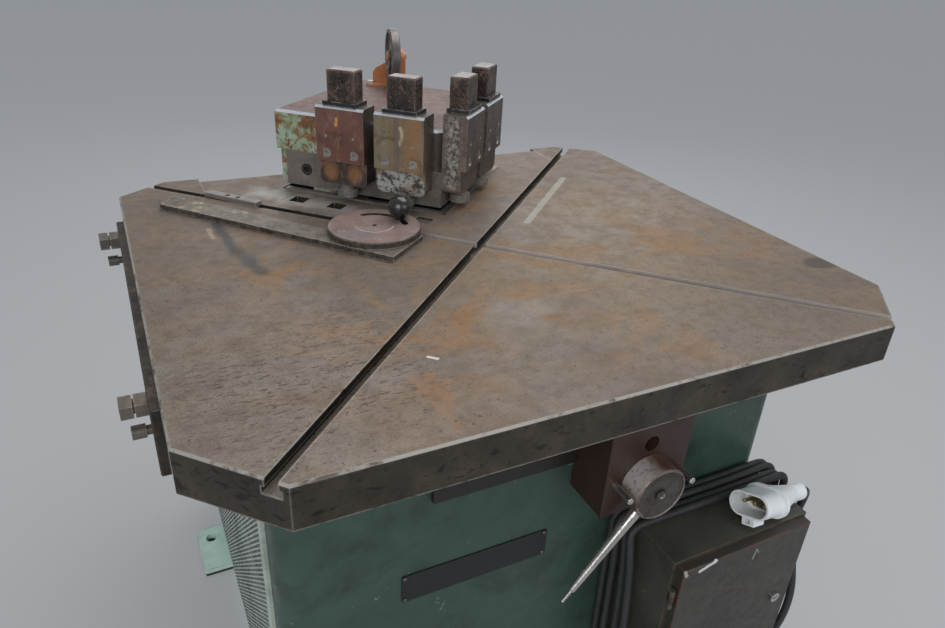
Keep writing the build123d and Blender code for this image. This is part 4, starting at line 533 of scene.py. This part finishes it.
def disc_look():
    """The protractor disc: dusty rose-brown top with a blue-grey part, worn rim, dark pitted side."""
    look = Look("disc_steel", specular=0.35)
    cloud = look.noise(24, 6, 0.65, 0.4)
    fine = look.noise(150, 5, 0.7)
    blue = look.both(look.blot((-0.185, 0.045, 0.87), (0.042, 0.036, 0.03), 0.9, 0.4, 30),
                     look.step(fine, 0.35, 0.55))
    top = look.stack(
        look.ramp(cloud, (0.3, (0.205, 0.135, 0.12)), (0.55, (0.3, 0.215, 0.195)),
                  (0.75, (0.37, 0.29, 0.27))),
        (blue, 0.65, (0.185, 0.185, 0.2)))
    toward = look.vector("DOT_PRODUCT", look.vector("SUBTRACT", look.coord, DISC_CENTRE), (-ROOT, -ROOT, 0))
    rim = look.both(look.worn_rim((0.0028,), 70, 4, 0.34, 0.5), look.step(toward, -0.01, 0.03, 0.35, 1.0))
    colour = look.stack(
        look.ramp(fine, (0.35, (0.03, 0.025, 0.021)), (0.65, (0.105, 0.085, 0.07))),
        (look.faces((0, 0, 1), 0.8, 0.97), 1, top),
        (look.patches((320, 3, 0.7), 0.6, 0.7, 0, 0.55), 1, (0.06, 0.045, 0.04)),
        (rim, 0.9, (0.66, 0.6, 0.54)))
    look.relief(fine, 0.0004)
    return look.finish(colour, look.step(fine, 0.3, 0.72, 0.38, 0.58), 0.25)


def ruler_look():
    """The ruler: grey-brown top with yellow chips at its far end, dark pitted sides, bright upper edges."""
    look = Look("ruler_steel", specular=0.4)
    fine = look.noise(120, 5, 0.7)
    far = look.blot((-0.35, 0.31, TOP_Z + 0.01), 0.19, 0.8)
    top = look.stack(
        look.ramp(look.noise(16, 6, 0.62, 0.3), (0.3, (0.132, 0.107, 0.087)), (0.7, (0.245, 0.212, 0.182))),
        (look.patches((45, 6, 0.7, 0.5), 0.48, 0.62, 0, 0.55), 1, (0.095, 0.075, 0.06)),
        (look.both(look.patches((70, 6, 0.72, 0.3), 0.54, 0.61), far), 1, (0.44, 0.355, 0.195)))
    colour = look.stack(
        look.ramp(fine, (0.35, (0.032, 0.027, 0.023)), (0.65, (0.135, 0.113, 0.095))),
        (look.faces((0, 0, 1), 0.8, 0.97), 1, top),
        (look.patches((300, 3, 0.7), 0.6, 0.7, 0, 0.5), 1, (0.05, 0.04, 0.034)),
        (look.worn_rim((0.0024,), 60, 4, 0.34, 0.5), 0.85, (0.6, 0.54, 0.48)))
    look.relief(fine, 0.0004)
    return look.finish(colour, look.step(fine, 0.3, 0.72, 0.34, 0.54), 0.3)


def hub_look():
    """The hub: rusty red turned side with a painted highlight on its upper left, towards the window, dark
    dial face, bright rim.
    """
    look = Look("hub_steel", specular=0.45)
    fine = look.noise(120, 5, 0.7)
    turned = look.patches((60, 4, 0.6, 0.0, look.placed((1, 14, 1))), 0.5, 0.62, 0, 0.45)
    # Painted highlight: the part of the turned side that faces up and to the left, towards the window, is
    # made pale
    worn = look.both(look.faces((-0.72, 0.0, 0.69), 0.6, 0.98), look.step(fine, 0.28, 0.52))
    colour = look.stack(
        look.ramp(look.noise(22, 6, 0.65, 0.4), (0.3, (0.135, 0.062, 0.042)), (0.7, (0.29, 0.16, 0.122))),
        (turned, 1, (0.085, 0.06, 0.052)),
        (worn, 0.85, (0.72, 0.67, 0.64)),
        (look.faces((0, -1, 0), 0.85, 0.97), 1,
         look.ramp(look.noise(40, 6, 0.7, 0.3), (0.32, (0.04, 0.032, 0.027)), (0.7, (0.105, 0.085, 0.07)))),
        (look.worn_rim((0.0026,), 80, 4, 0.34, 0.5), 0.85, (0.6, 0.56, 0.53)))
    look.relief(fine, 0.0004)
    return look.finish(colour, look.step(fine, 0.3, 0.72, 0.28, 0.48), 0.35)


def plug_look():
    """The supply plug: pale moulded shell, painted shade in the hollow round the pins."""
    look = Look("plug_plastic")
    axes = PLUG_TURN.transposed()
    # Painted shade: the hollow behind the mouth, round the pins, is made dark
    hollow = look.turned_blot(PLUG_MOUTH + axes[0] * 0.037, axes, (0.026, 0.0315, 0.018), 0.35)
    fine = look.noise(60, 5, 0.7)
    colour = look.stack(
        look.ramp(look.noise(30, 5, 0.6), (0.3, (0.86, 0.88, 0.89)), (0.7, (0.95, 0.96, 0.97))),
        (look.patches((50, 6, 0.75, 0.3), 0.56, 0.68, 0, 0.3), 1, (0.42, 0.42, 0.41)),
        (hollow, 1, look.mix(fine, (0.03, 0.02, 0.014), (0.08, 0.052, 0.034))))
    look.relief(fine, 0.0002)
    return look.finish(colour, look.step(fine, 0.3, 0.7, 0.34, 0.5))


def guard_look():
    """The guard of the wheel: chipped orange enamel, bare bolts."""
    look = Look("orange_enamel", specular=0.4)
    fine = look.noise(90, 6, 0.7)
    chip = look.patches((46, 5, 0.65, 0.3), 0.6, 0.64)
    bolts = look.either(*(look.blot(place, (0.0085, 0.0085, 0.0075), 0.08) for place in GUARD_BOLTS))
    colour = look.stack(
        look.ramp(look.noise(14, 5, 0.6), (0.3, (0.4, 0.15, 0.06)), (0.7, (0.58, 0.24, 0.105))),
        (chip, 0.8, (0.14, 0.085, 0.06)),
        (look.both(look.edge(0.0022), look.step(fine, 0.4, 0.55)), 0.6, (0.66, 0.38, 0.22)),
        (bolts, 1, (0.66, 0.64, 0.61)))
    look.relief(chip, -0.0003)
    return look.finish(colour, look.step(fine, 0.3, 0.7, 0.36, 0.54), look.math("MULTIPLY", bolts, 0.6))


def plain_look(name, colour, rough, scale=30.0, depth=0.0002, coat=0.0, coat_rough=0.1):
    """Moulded or cast surface with a fine grain and slight variation."""
    look = Look(name, coat=coat, coat_rough=coat_rough)
    cloud = look.noise(scale, 5, 0.6)
    grain = look.noise(scale * 16, 3, 0.6)
    look.relief(cloud, depth * 2)
    look.relief(grain, depth)
    shade = look.ramp(cloud, (0.3, tuple(v * 0.75 for v in colour)), (0.72, tuple(v * 1.25 for v in colour)))
    return look.finish(shade, look.step(grain, 0.3, 0.7, rough - 0.08, rough + 0.08))


DOOR_Y = -0.4456
# x and z of both ends, width, share and shade of each mark on the box door
DOOR_MARKS = [((xa, DOOR_Y, za), (xb, DOOR_Y, zb), *rest) for xa, za, xb, zb, *rest in (
    (0.1616, 0.4895, 0.1898, 0.4976, 0.008, 0.95, (0.74, 0.77, 0.8)),
    (0.133, 0.4985, 0.1365, 0.49, 0.007, 0.85, (0.5, 0.46, 0.41)),
    (0.274, 0.4868, 0.27, 0.468, 0.004, 0.75, (0.42, 0.39, 0.3)),
    (0.274, 0.4868, 0.28, 0.478, 0.003, 0.6, (0.36, 0.33, 0.26)),
    (0.19, 0.44, 0.29, 0.402, 0.0022, 0.5, (0.16, 0.06, 0.04)),
    (0.22, 0.47, 0.245, 0.438, 0.0022, 0.5, (0.16, 0.06, 0.04)),
    (0.175, 0.33, 0.33, 0.305, 0.002, 0.45, (0.14, 0.06, 0.044)),
)]
# Looks that the pieces made below wear too
BLACK = steel_look("black_steel", (0.018, 0.017, 0.017), (0.06, 0.054, 0.05), 0.3, worn=(0.42, 0.4, 0.38),
                   edge=0.0022, metallic=0.6)
BOLT = steel_look("bolt_steel", (0.085, 0.074, 0.065), (0.21, 0.185, 0.16), 0.45, worn=(0.5, 0.47, 0.44),
                  edge=0.0018, metallic=0.6)
VENT = paint_look("vent_sheet", (0.47, 0.53, 0.46), (0.62, 0.68, 0.6), chips=0.4, edge=0.0008,
                  dirt=(0.16, 0.18, 0.155))
CABLE = plain_look("cable_rubber", (0.033, 0.033, 0.034), 0.52, 60, 0.0001)
PALE = plain_look("scribed_line", (0.55, 0.5, 0.46), 0.6, 80)
INK = plain_look("engraving", (0.012, 0.01, 0.009), 0.6, 80)
# Each look, followed by the nodes that wear it
DRESSES = (
    (table_look("worn_table"), "table_plate"),
    (table_look("worn_bed", True), "die_bed"),
    (steel_look("ground_blade", (0.2, 0.18, 0.165), (0.42, 0.39, 0.36), 0.5, (0.26, 0.44)),
     "lower_blade_left", "lower_blade_right", "upper_blade_left", "upper_blade_right"),
    (ruler_look(), "fence_ruler"),
    (steel_look("bar_steel", (0.17, 0.155, 0.142), (0.34, 0.32, 0.3), 0.35, (0.28, 0.45), (0.7, 0.67, 0.64),
                0.003, 0.45, 0.9), "stop_bar"),
    (disc_look(), "protractor_disc"),
    (face_look("face_plate_steel"), "face_plates"),
    (ram_look(), *(f"holddown_ram_{number}" for number in range(1, 5))),
    (steel_look("rod_steel", (0.12, 0.11, 0.1), (0.3, 0.28, 0.26), 0.25), "guide_columns", "piston_rod"),
    (BLACK, "blade_screws", "stop_bar_screws", "pivot_and_stud"),
    (steel_look("screw_steel", (0.22, 0.205, 0.195), (0.46, 0.44, 0.42), 0.25, (0.26, 0.42),
                (0.8, 0.78, 0.75), 0.0016, 0.55), "face_plate_screws", "disc_screws"),
    (steel_look("collar_steel", (0.012, 0.012, 0.012), (0.045, 0.043, 0.042), 0.2, worn=(0.55, 0.54, 0.52),
                edge=0.0035, metallic=0.4, bare=0.9), "scraper_collars"),
    (BOLT, "side_bar_bolts"),
    (steel_look("side_bar_steel", (0.03, 0.026, 0.022), (0.085, 0.072, 0.06), 0.4, worn=(0.3, 0.27, 0.24)),
     "side_bar"),
    (head_look(), "head_casting"),
    (face_look("holddown_iron", True), *(f"holddown_block_{number}" for number in range(1, 5))),
    (paint_look("green_enamel", (0.038, 0.074, 0.056), (0.058, 0.104, 0.082), (0.2, 0.23, 0.2), 0.9,
                dirt=(0.018, 0.024, 0.019)), "base_cabinet", "rear_cover"),
    (paint_look("mint_enamel", (0.56, 0.78, 0.66), (0.72, 0.94, 0.82), (0.1, 0.09, 0.08), 0.6,
                dirt=(0.38, 0.44, 0.38)), "base_plate"),
    (VENT, "vent_panel"),
    (plain_look("black_rubber", (0.018, 0.018, 0.018), 0.55, 40), "foot_pads"),
    (CABLE, "power_cable", "cable_coil"),
    (guard_look(), "wheel_bracket"),
    (steel_look("wheel_iron", (0.12, 0.108, 0.104), (0.27, 0.255, 0.248), 0.3, worn=(0.55, 0.53, 0.51)),
     "stroke_wheel"),
    (plain_look("knob_plastic", (0.008, 0.008, 0.01), 0.28, 20, 0.00002, 0.8, 0.22), "clamp_knob"),
    (paint_look("rail_paint", (0.018, 0.015, 0.013), under=(0.06, 0.045, 0.035), chips=0.7), "front_rail"),
    (plain_look("plate_lacquer", (0.01, 0.01, 0.011), 0.34, depth=0.00005), "data_plate"),
    (paint_look("block_primer", (0.034, 0.016, 0.0115), (0.064, 0.032, 0.023), (0.15, 0.12, 0.1), 0.7, 0.002),
     "bracket_block"),
    (steel_look("bright_steel", (0.42, 0.41, 0.39), (0.62, 0.6, 0.57), 0.15, (0.16, 0.3), (0.7, 0.68, 0.65),
                metallic=0.95), "stop_studs", "dial_lever", "door_lock"),
    (hub_look(), "dial_hub"),
    (paint_look("box_paint", (0.056, 0.054, 0.044), (0.094, 0.089, 0.073), (0.17, 0.14, 0.11), 0.7, 0.0035,
                rust=(0.16, 0.052, 0.028), edge_colour=(0.3, 0.215, 0.16)), "switch_box"),
    (paint_look("door_paint", (0.033, 0.03, 0.025), (0.056, 0.051, 0.042), (0.13, 0.11, 0.09), 0.6, 0.0042,
                rust=(0.17, 0.05, 0.026), edge_colour=(0.3, 0.085, 0.042), strokes=DOOR_MARKS), "box_door"),
    (plain_look("gear_plastic", (0.42, 0.42, 0.4), 0.45), "switchgear"),
    (plain_look("gland_plastic", (0.03, 0.03, 0.03), 0.45), "cable_gland"),
    (plug_look(), "plug_shell"),
    (steel_look("pin_brass", (0.3, 0.22, 0.09), (0.48, 0.38, 0.18), 0.2, worn=(0.6, 0.5, 0.28), metallic=0.9),
     "plug_pins", "guide_bushes"),
    (paint_look("inner_grey", (0.11, 0.14, 0.155), (0.16, 0.19, 0.205), chips=0.4),
     "guide_housing", "main_cylinder", "oil_tank", "motor_pump", "valve_block"),
    (steel_look("bare_sheet", (0.24, 0.24, 0.23), (0.4, 0.4, 0.39), 0.2), "oil_pipes", "slug_chute"),
)
for material, *wearers in DRESSES:
    for wearer in wearers:
        slots = NODES[wearer].material_slots
        if not slots:
            NODES[wearer].data.materials.append(material)
        for held in slots:
            held.material = material


def add(name, data):
    """A new object in the scene."""
    shape = bpy.data.objects.new(name, data)
    scene.collection.objects.link(shape)
    return shape


def piece(name, data, look, body):
    """A new piece that rides on a body."""
    shape = add(name, data)
    data.materials.append(look)
    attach(shape, body)
    return shape


def mesh_of(name, points, faces, smooth=False):
    """A mesh from points and the numbers of each face's points."""
    mesh = bpy.data.meshes.new(name)
    mesh.from_pydata([tuple(point) for point in points], [], faces)
    mesh.update()
    if smooth:
        mesh.shade_smooth()
    return mesh


def prisms(name, outlines, depth, origin, across, upward):
    """Thin closed plates: flat outlines set at the origin along two axes, and thickened along the third."""
    origin, across, upward = Vector(origin), Vector(across), Vector(upward)
    normal = across.cross(upward).normalized()
    points, faces = [], []
    for outline in outlines:
        first, count = len(points), len(outline)
        for level in (0.0, depth):
            points += [origin + across * u + upward * v + normal * level for u, v in outline]
        faces.append(tuple(first + n for n in reversed(range(count))))
        faces.append(tuple(first + count + n for n in range(count)))
        for n in range(count):
            m = (n + 1) % count
            faces.append((first + n, first + m, first + count + m, first + count + n))
    return mesh_of(name, points, faces)


def tick(angle, inner, outer, width):
    """A radial mark as a flat outline."""
    along = Vector((math.cos(angle), math.sin(angle)))
    side = Vector((-along.y, along.x)) * width / 2
    return [along * inner - side, along * outer - side, along * outer + side, along * inner + side]


def arc_band(radius, width, start, end, count):
    """A curved band as a row of flat four-cornered outlines, from start to end in degrees."""
    start, end = math.radians(start), math.radians(end)
    inner, outer = radius - width / 2, radius + width / 2
    made = []
    for n in range(count):
        a, b = (start + (end - start) * k / count for k in (n, n + 1))
        corners = [(inner, a), (outer, a), (outer, b), (inner, b)]
        made.append([Vector((r * math.cos(t), r * math.sin(t))) for r, t in corners])
    return made


def vent_sheet():
    """The perforated side panel: round holes in slanting rows, in a sheet with folded edges."""
    face_x, back_x = -0.414, -0.4071
    low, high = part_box("vent_panel")
    pitch, hole, columns, rows = 0.009, 0.0026, 80, 77
    wide, tall = columns * pitch, rows * pitch
    y0 = (low.y + high.y - wide) / 2
    z0 = (low.z + high.z - tall) / 2
    points, faces, index = [], [], {}

    def at(y, z):
        """The point of the front face at y and z, made once for places less than 2.5 micrometres apart."""
        key = (round(y * 4e5), round(z * 4e5))
        if key not in index:
            index[key] = len(points)
            points.append((face_x, y, z))
        return index[key]

    half = pitch / 2
    centres = [(y0 + i * pitch, z0 + j * pitch) for i in range(columns + 1) for j in range(rows + 1)]
    centres += [(y0 + (i + 0.5) * pitch, z0 + (j + 0.5) * pitch) for i in range(columns) for j in range(rows)]
    for y, z in centres:
        rim = []
        for n in range(8):
            rim.append(len(points))
            angle = n * math.pi / 4
            points.append((face_x, y + hole * math.cos(angle), z + hole * math.sin(angle)))
        tips = [at(y + half, z), at(y, z + half), at(y - half, z), at(y, z - half)]
        for n in range(4):
            ring = [rim[(2 * n + k) % 8] for k in (0, 1, 2)]
            faces.append((tips[n], tips[(n + 1) % 4], ring[2], ring[1], ring[0])[::-1])
    ya, yb, za, zb = y0 - half, y0 + wide + half, z0 - half, z0 + tall + half
    for i in range(columns):
        y = y0 + i * pitch
        faces.append((at(y, za), at(y + pitch, za), at(y + half, z0)))
        faces.append((at(y, zb), at(y + half, z0 + tall), at(y + pitch, zb)))
    for j in range(rows):
        z = z0 + j * pitch
        faces.append((at(ya, z), at(y0, z + half), at(ya, z + pitch)))
        faces.append((at(yb, z), at(yb, z + pitch), at(y0 + wide, z + half)))
    for y, z, sy, sz in ((ya, za, 1, 1), (yb, za, -1, 1), (yb, zb, -1, -1), (ya, zb, 1, -1)):
        corner = (at(y, z), at(y + sy * half, z), at(y, z + sz * half))
        faces.append(corner if sy * sz > 0 else corner[::-1])
    along = [y0 + i * pitch for i in range(columns + 1)]
    upward = [z0 + j * pitch for j in range(rows + 1)]
    edge = [(ya, za)] + [(y, za) for y in along] + [(yb, za)] + [(yb, z) for z in upward] + [(yb, zb)]
    edge += [(y, zb) for y in reversed(along)] + [(ya, zb)] + [(ya, z) for z in reversed(upward)]
    ring = [at(y, z) for y, z in edge]
    for inset, x in ((0.0022, face_x), (0.0007, face_x + 0.0005), (0.0, face_x + 0.002), (0.0, back_x)):
        following = []
        for y, z in edge:
            following.append(len(points))
            points.append((x, {ya: low.y + inset, yb: high.y - inset}.get(y, y),
                           {za: low.z + inset, zb: high.z - inset}.get(z, z)))
        for n in range(len(ring)):
            m = (n + 1) % len(ring)
            faces.append((ring[n], following[n], following[m], ring[m])[::-1])
        ring = following
    shape = piece("vent_sheet", mesh_of("vent_sheet", points, faces), VENT, "base")
    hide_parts("vent_panel")


def lathe(name, profile, centre, axis, count):
    """A closed turned solid. The profile runs from the axis out and back to it, as (radius, height) pairs."""
    axis = Vector(axis).normalized()
    side = axis.orthogonal().normalized()
    other = axis.cross(side)
    points, faces, rows = [], [], []
    for radius, height in profile:
        base = Vector(centre) + axis * height
        angles = [2 * math.pi * n / count for n in range(count if radius else 1)]
        rows.append(range(len(points), len(points) + len(angles)))
        points += [base + (side * math.cos(angle) + other * math.sin(angle)) * radius for angle in angles]
    for a, b in zip(rows, rows[1:]):
        for n in range(count):
            m = (n + 1) % count
            loop = [a[n % len(a)], a[m % len(a)], b[m % len(b)], b[n % len(b)]]
            faces.append(tuple(dict.fromkeys(loop)))
    return mesh_of(name, points, faces, True)


vent_sheet()

DIAL_X, DIAL_FACE_Y, DIAL_Z = 0.084, -0.4138, 0.636
DIAL_START, DIAL_STEP, DIAL_TICKS = -20, 7.5, 25
marks = [tick(math.radians(DIAL_START + DIAL_STEP * n), 0.03 if n % 4 else 0.027, 0.0362, 0.0007)
         for n in range(DIAL_TICKS)]
marks += arc_band(0.0375, 0.0006, DIAL_START, 160, 40)
dial_marks = prisms("dial_marks", marks, 0.0003, (DIAL_X, DIAL_FACE_Y, DIAL_Z), (1, 0, 0), (0, 0, 1))
piece("dial_marks", dial_marks, INK, "dial")
SCREW = [(0, 0.0), (0.0088, 0.0), (0.0088, 0.0028), (0.008, 0.0036), (0.0044, 0.0036),
         (0.0038, 0.0012), (0, 0.0012)]
dial_screw = lathe("dial_screw", SCREW, (DIAL_X, DIAL_FACE_Y - 0.0002, DIAL_Z), (0, -1, 0), 24)
piece("dial_screw", dial_screw, BLACK, "dial")

DISC_TOP = TOP_Z + 0.0203
disc_marks = prisms("disc_marks", arc_band(0.03, 0.0011, 168, 334, 40), 0.00025, (*DISC_CENTRE[:2], DISC_TOP),
                    (1, 0, 0), (0, 1, 0))
piece("disc_marks", disc_marks, PALE, "fence")

RIVET = [(0, 0.0), (0.003, 0.0), (0.0028, 0.001), (0.0018, 0.0017), (0, 0.0019)]
PLATE_FACE_Y = -0.305
corners = [(x, PLATE_FACE_Y, z) for z in (0.5085, 0.4685) for x in (-0.2395, -0.0185)]
for number, corner in enumerate(corners, 1):
    name = f"plate_rivet_{number}"
    piece(name, lathe(name, RIVET, corner, (0, -1, 0), 14), BOLT, "base")


# The supply cable: out of the gland, three and a half turns over the switch box, then up to the plug
CABLE_R = 0.00635
LOOP_LEFT, LOOP_RIGHT, LOOP_LOW, LOOP_TOP = 0.099, 0.415, 0.093, 0.5153
LOOP_BEND = 0.045
LOOP_X1, LOOP_X2 = 0.215, 0.3
FIRST_START_Y = -0.34
lead = [(0.25, -0.352, 0.165), (0.25, -0.352, 0.135), (0.272, -0.351, 0.107), (0.308, -0.349, 0.094)]
# y of each strand at the bottom right, the right side, the top, the left side and the bottom left, and how
# far its turn is larger than the others
STRANDS = (
    ((None, -0.33, -0.3165, -0.318, -0.345), 0.0),
    ((-0.372, -0.338, -0.33, -0.34, -0.372), 0.002),
    ((-0.387, -0.348, -0.3438, -0.362, -0.386), -0.001),
    ((-0.4, -0.36, -0.3575, -0.385, -0.396), 0.003),
)
tail = [
    (LOOP_X1, -0.398, LOOP_LOW), (LOOP_X2, -0.398, LOOP_LOW), (0.365, -0.396, 0.094),
    (0.405, -0.392, 0.108), (0.414, -0.412, 0.158), (0.416, -0.428, 0.212), (0.415, -0.436, 0.268),
    (0.416, -0.434, 0.322), (0.418, -0.42, 0.366), (0.421, -0.403, 0.4), (0.425, -0.392, 0.43),
    (0.434, -0.387, 0.458), (0.438, -0.388, 0.482), (0.432, -0.392, 0.502), (0.4179, -0.3967, 0.5137),
    (0.4039, -0.3977, 0.5167),
]


def turn_points(strand, grow):
    """One turn of the loop, from the bottom right over the top to the bottom left."""
    low_right, right, top, left, low_left = strand
    x0, x1, z0, z1 = LOOP_LEFT - grow, LOOP_RIGHT + grow, LOOP_LOW - grow, LOOP_TOP + grow
    x0_in, x1_in, z0_in, z1_in = x0 + LOOP_BEND, x1 - LOOP_BEND, z0 + LOOP_BEND, z1 - LOOP_BEND
    made = []
    if low_right is None:
        low_right = FIRST_START_Y
    else:
        made = [(LOOP_X1, low_right + 0.004, z0), (LOOP_X2, low_right, z0)]
    return made + [
        (x1_in, low_right, z0), (x1, (low_right + right) / 2, z0), (x1, right, z0_in),
        (x1, right, 0.23), (x1 + 0.001, right - 0.003, 0.34), (x1, (right + top) / 2, z1_in),
        (x1, top, z1), (x1_in, top, z1), (LOOP_X2, top - 0.001, z1), (LOOP_X1, top, z1),
        (x0_in, top, z1), (x0, top, z1), (x0, (top + left) / 2, z1_in),
        (x0 - 0.001, left, 0.38), (x0 + 0.001, left - 0.002, 0.25), (x0, left, z0_in),
        (x0, low_left, z0), (x0_in, low_left, z0),
    ]


route = list(lead)
for strand, grow in STRANDS:
    route += turn_points(strand, grow)
route += tail

curve = bpy.data.curves.new("supply_cable", "CURVE")
curve.dimensions = "3D"
spline = curve.splines.new("NURBS")
spline.points.add(len(route) - 1)
for point, place in zip(spline.points, route):
    point.co = (*place, 1)
spline.order_u = 3
spline.use_endpoint_u = True
spline.resolution_u = 10
curve.bevel_depth = CABLE_R
curve.bevel_resolution = 4
curve.use_fill_caps = True
cable = piece("supply_cable", curve, CABLE, "base")
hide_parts("power_cable", "cable_coil")

# Floor, world, lights and camera
FLOOR_HALF = 60
FLOOR_GLOW = 0.16
corners = [(-FLOOR_HALF, -FLOOR_HALF, 0), (FLOOR_HALF, -FLOOR_HALF, 0), (FLOOR_HALF, FLOOR_HALF, 0),
           (-FLOOR_HALF, FLOOR_HALF, 0)]
floor = add("studio_floor", mesh_of("studio_floor", corners, [(0, 1, 2, 3)]))
floor_look = Look("floor_concrete", specular=0.0)
floor_look.bsdf.inputs["Emission Color"].default_value = (0.96, 0.98, 1.0, 1)
glow = floor_look.math("MULTIPLY", floor_look.seen(), FLOOR_GLOW)
floor_look.put(floor_look.bsdf.inputs["Emission Strength"], glow)
floor.data.materials.append(floor_look.finish((0.28, 0.285, 0.29), 0.9))

scene.world = bpy.data.worlds.new("studio_world")
scene.world.use_nodes = True
sky = Graph(scene.world.node_tree)
dim = sky.new("Background", Color=(0.86, 0.93, 1.0), Strength=0.5)
backdrop = sky.new("Background", Color=(0.3, 0.305, 0.31), Strength=1.0)
blend = sky.new("MixShader")
for socket, source in zip(blend.inputs, (sky.seen(), dim.outputs[0], backdrop.outputs[0])):
    sky.put(socket, source)
sky.new("OutputWorld", Surface=blend.outputs[0])

# Name, place, target, size and power of each light
for name, place, target, size, power in (
    ("top_light", (0.9, 0.5, 3.4), (0.1, 0.0, 0.8), (3.0, 2.2), 52),
    ("back_light", (1.4, 3.0, 2.2), (0, 0, 0.8), (3.0, 1.6), 14),
    ("front_light", (-2.3, -2.7, 2.2), (0, 0, 0.6), (2.4, 2.0), 42),
    ("fill_light", (1.4, -3.2, 1.9), (0.1, 0, 0.7), (1.8, 1.6), 15),
):
    lamp = bpy.data.lights.new(name, "AREA")
    lamp.shape = "RECTANGLE"
    lamp.size, lamp.size_y = size
    lamp.energy = power
    holder = add(name, lamp)
    holder.location = place
    holder.rotation_euler = (Vector(target) - Vector(place)).to_track_quat("-Z", "Y").to_euler()

lens = bpy.data.cameras.new("photo_camera")
lens.lens = 27.97
lens.sensor_width = 36.0
lens.sensor_fit = "HORIZONTAL"
lens.clip_start = 0.05
lens.clip_end = 60
camera = add("photo_camera", lens)
right = Vector((0.897, -0.439, 0.048)).normalized()
ahead = Vector((0.408, 0.781, -0.473))
ahead = (ahead - right * ahead.dot(right)).normalized()
turn = Matrix((right, right.cross(ahead), -ahead)).transposed()
camera.matrix_world = Matrix.Translation((-0.503, -0.965, 1.303)) @ turn.to_4x4()
scene.camera = camera
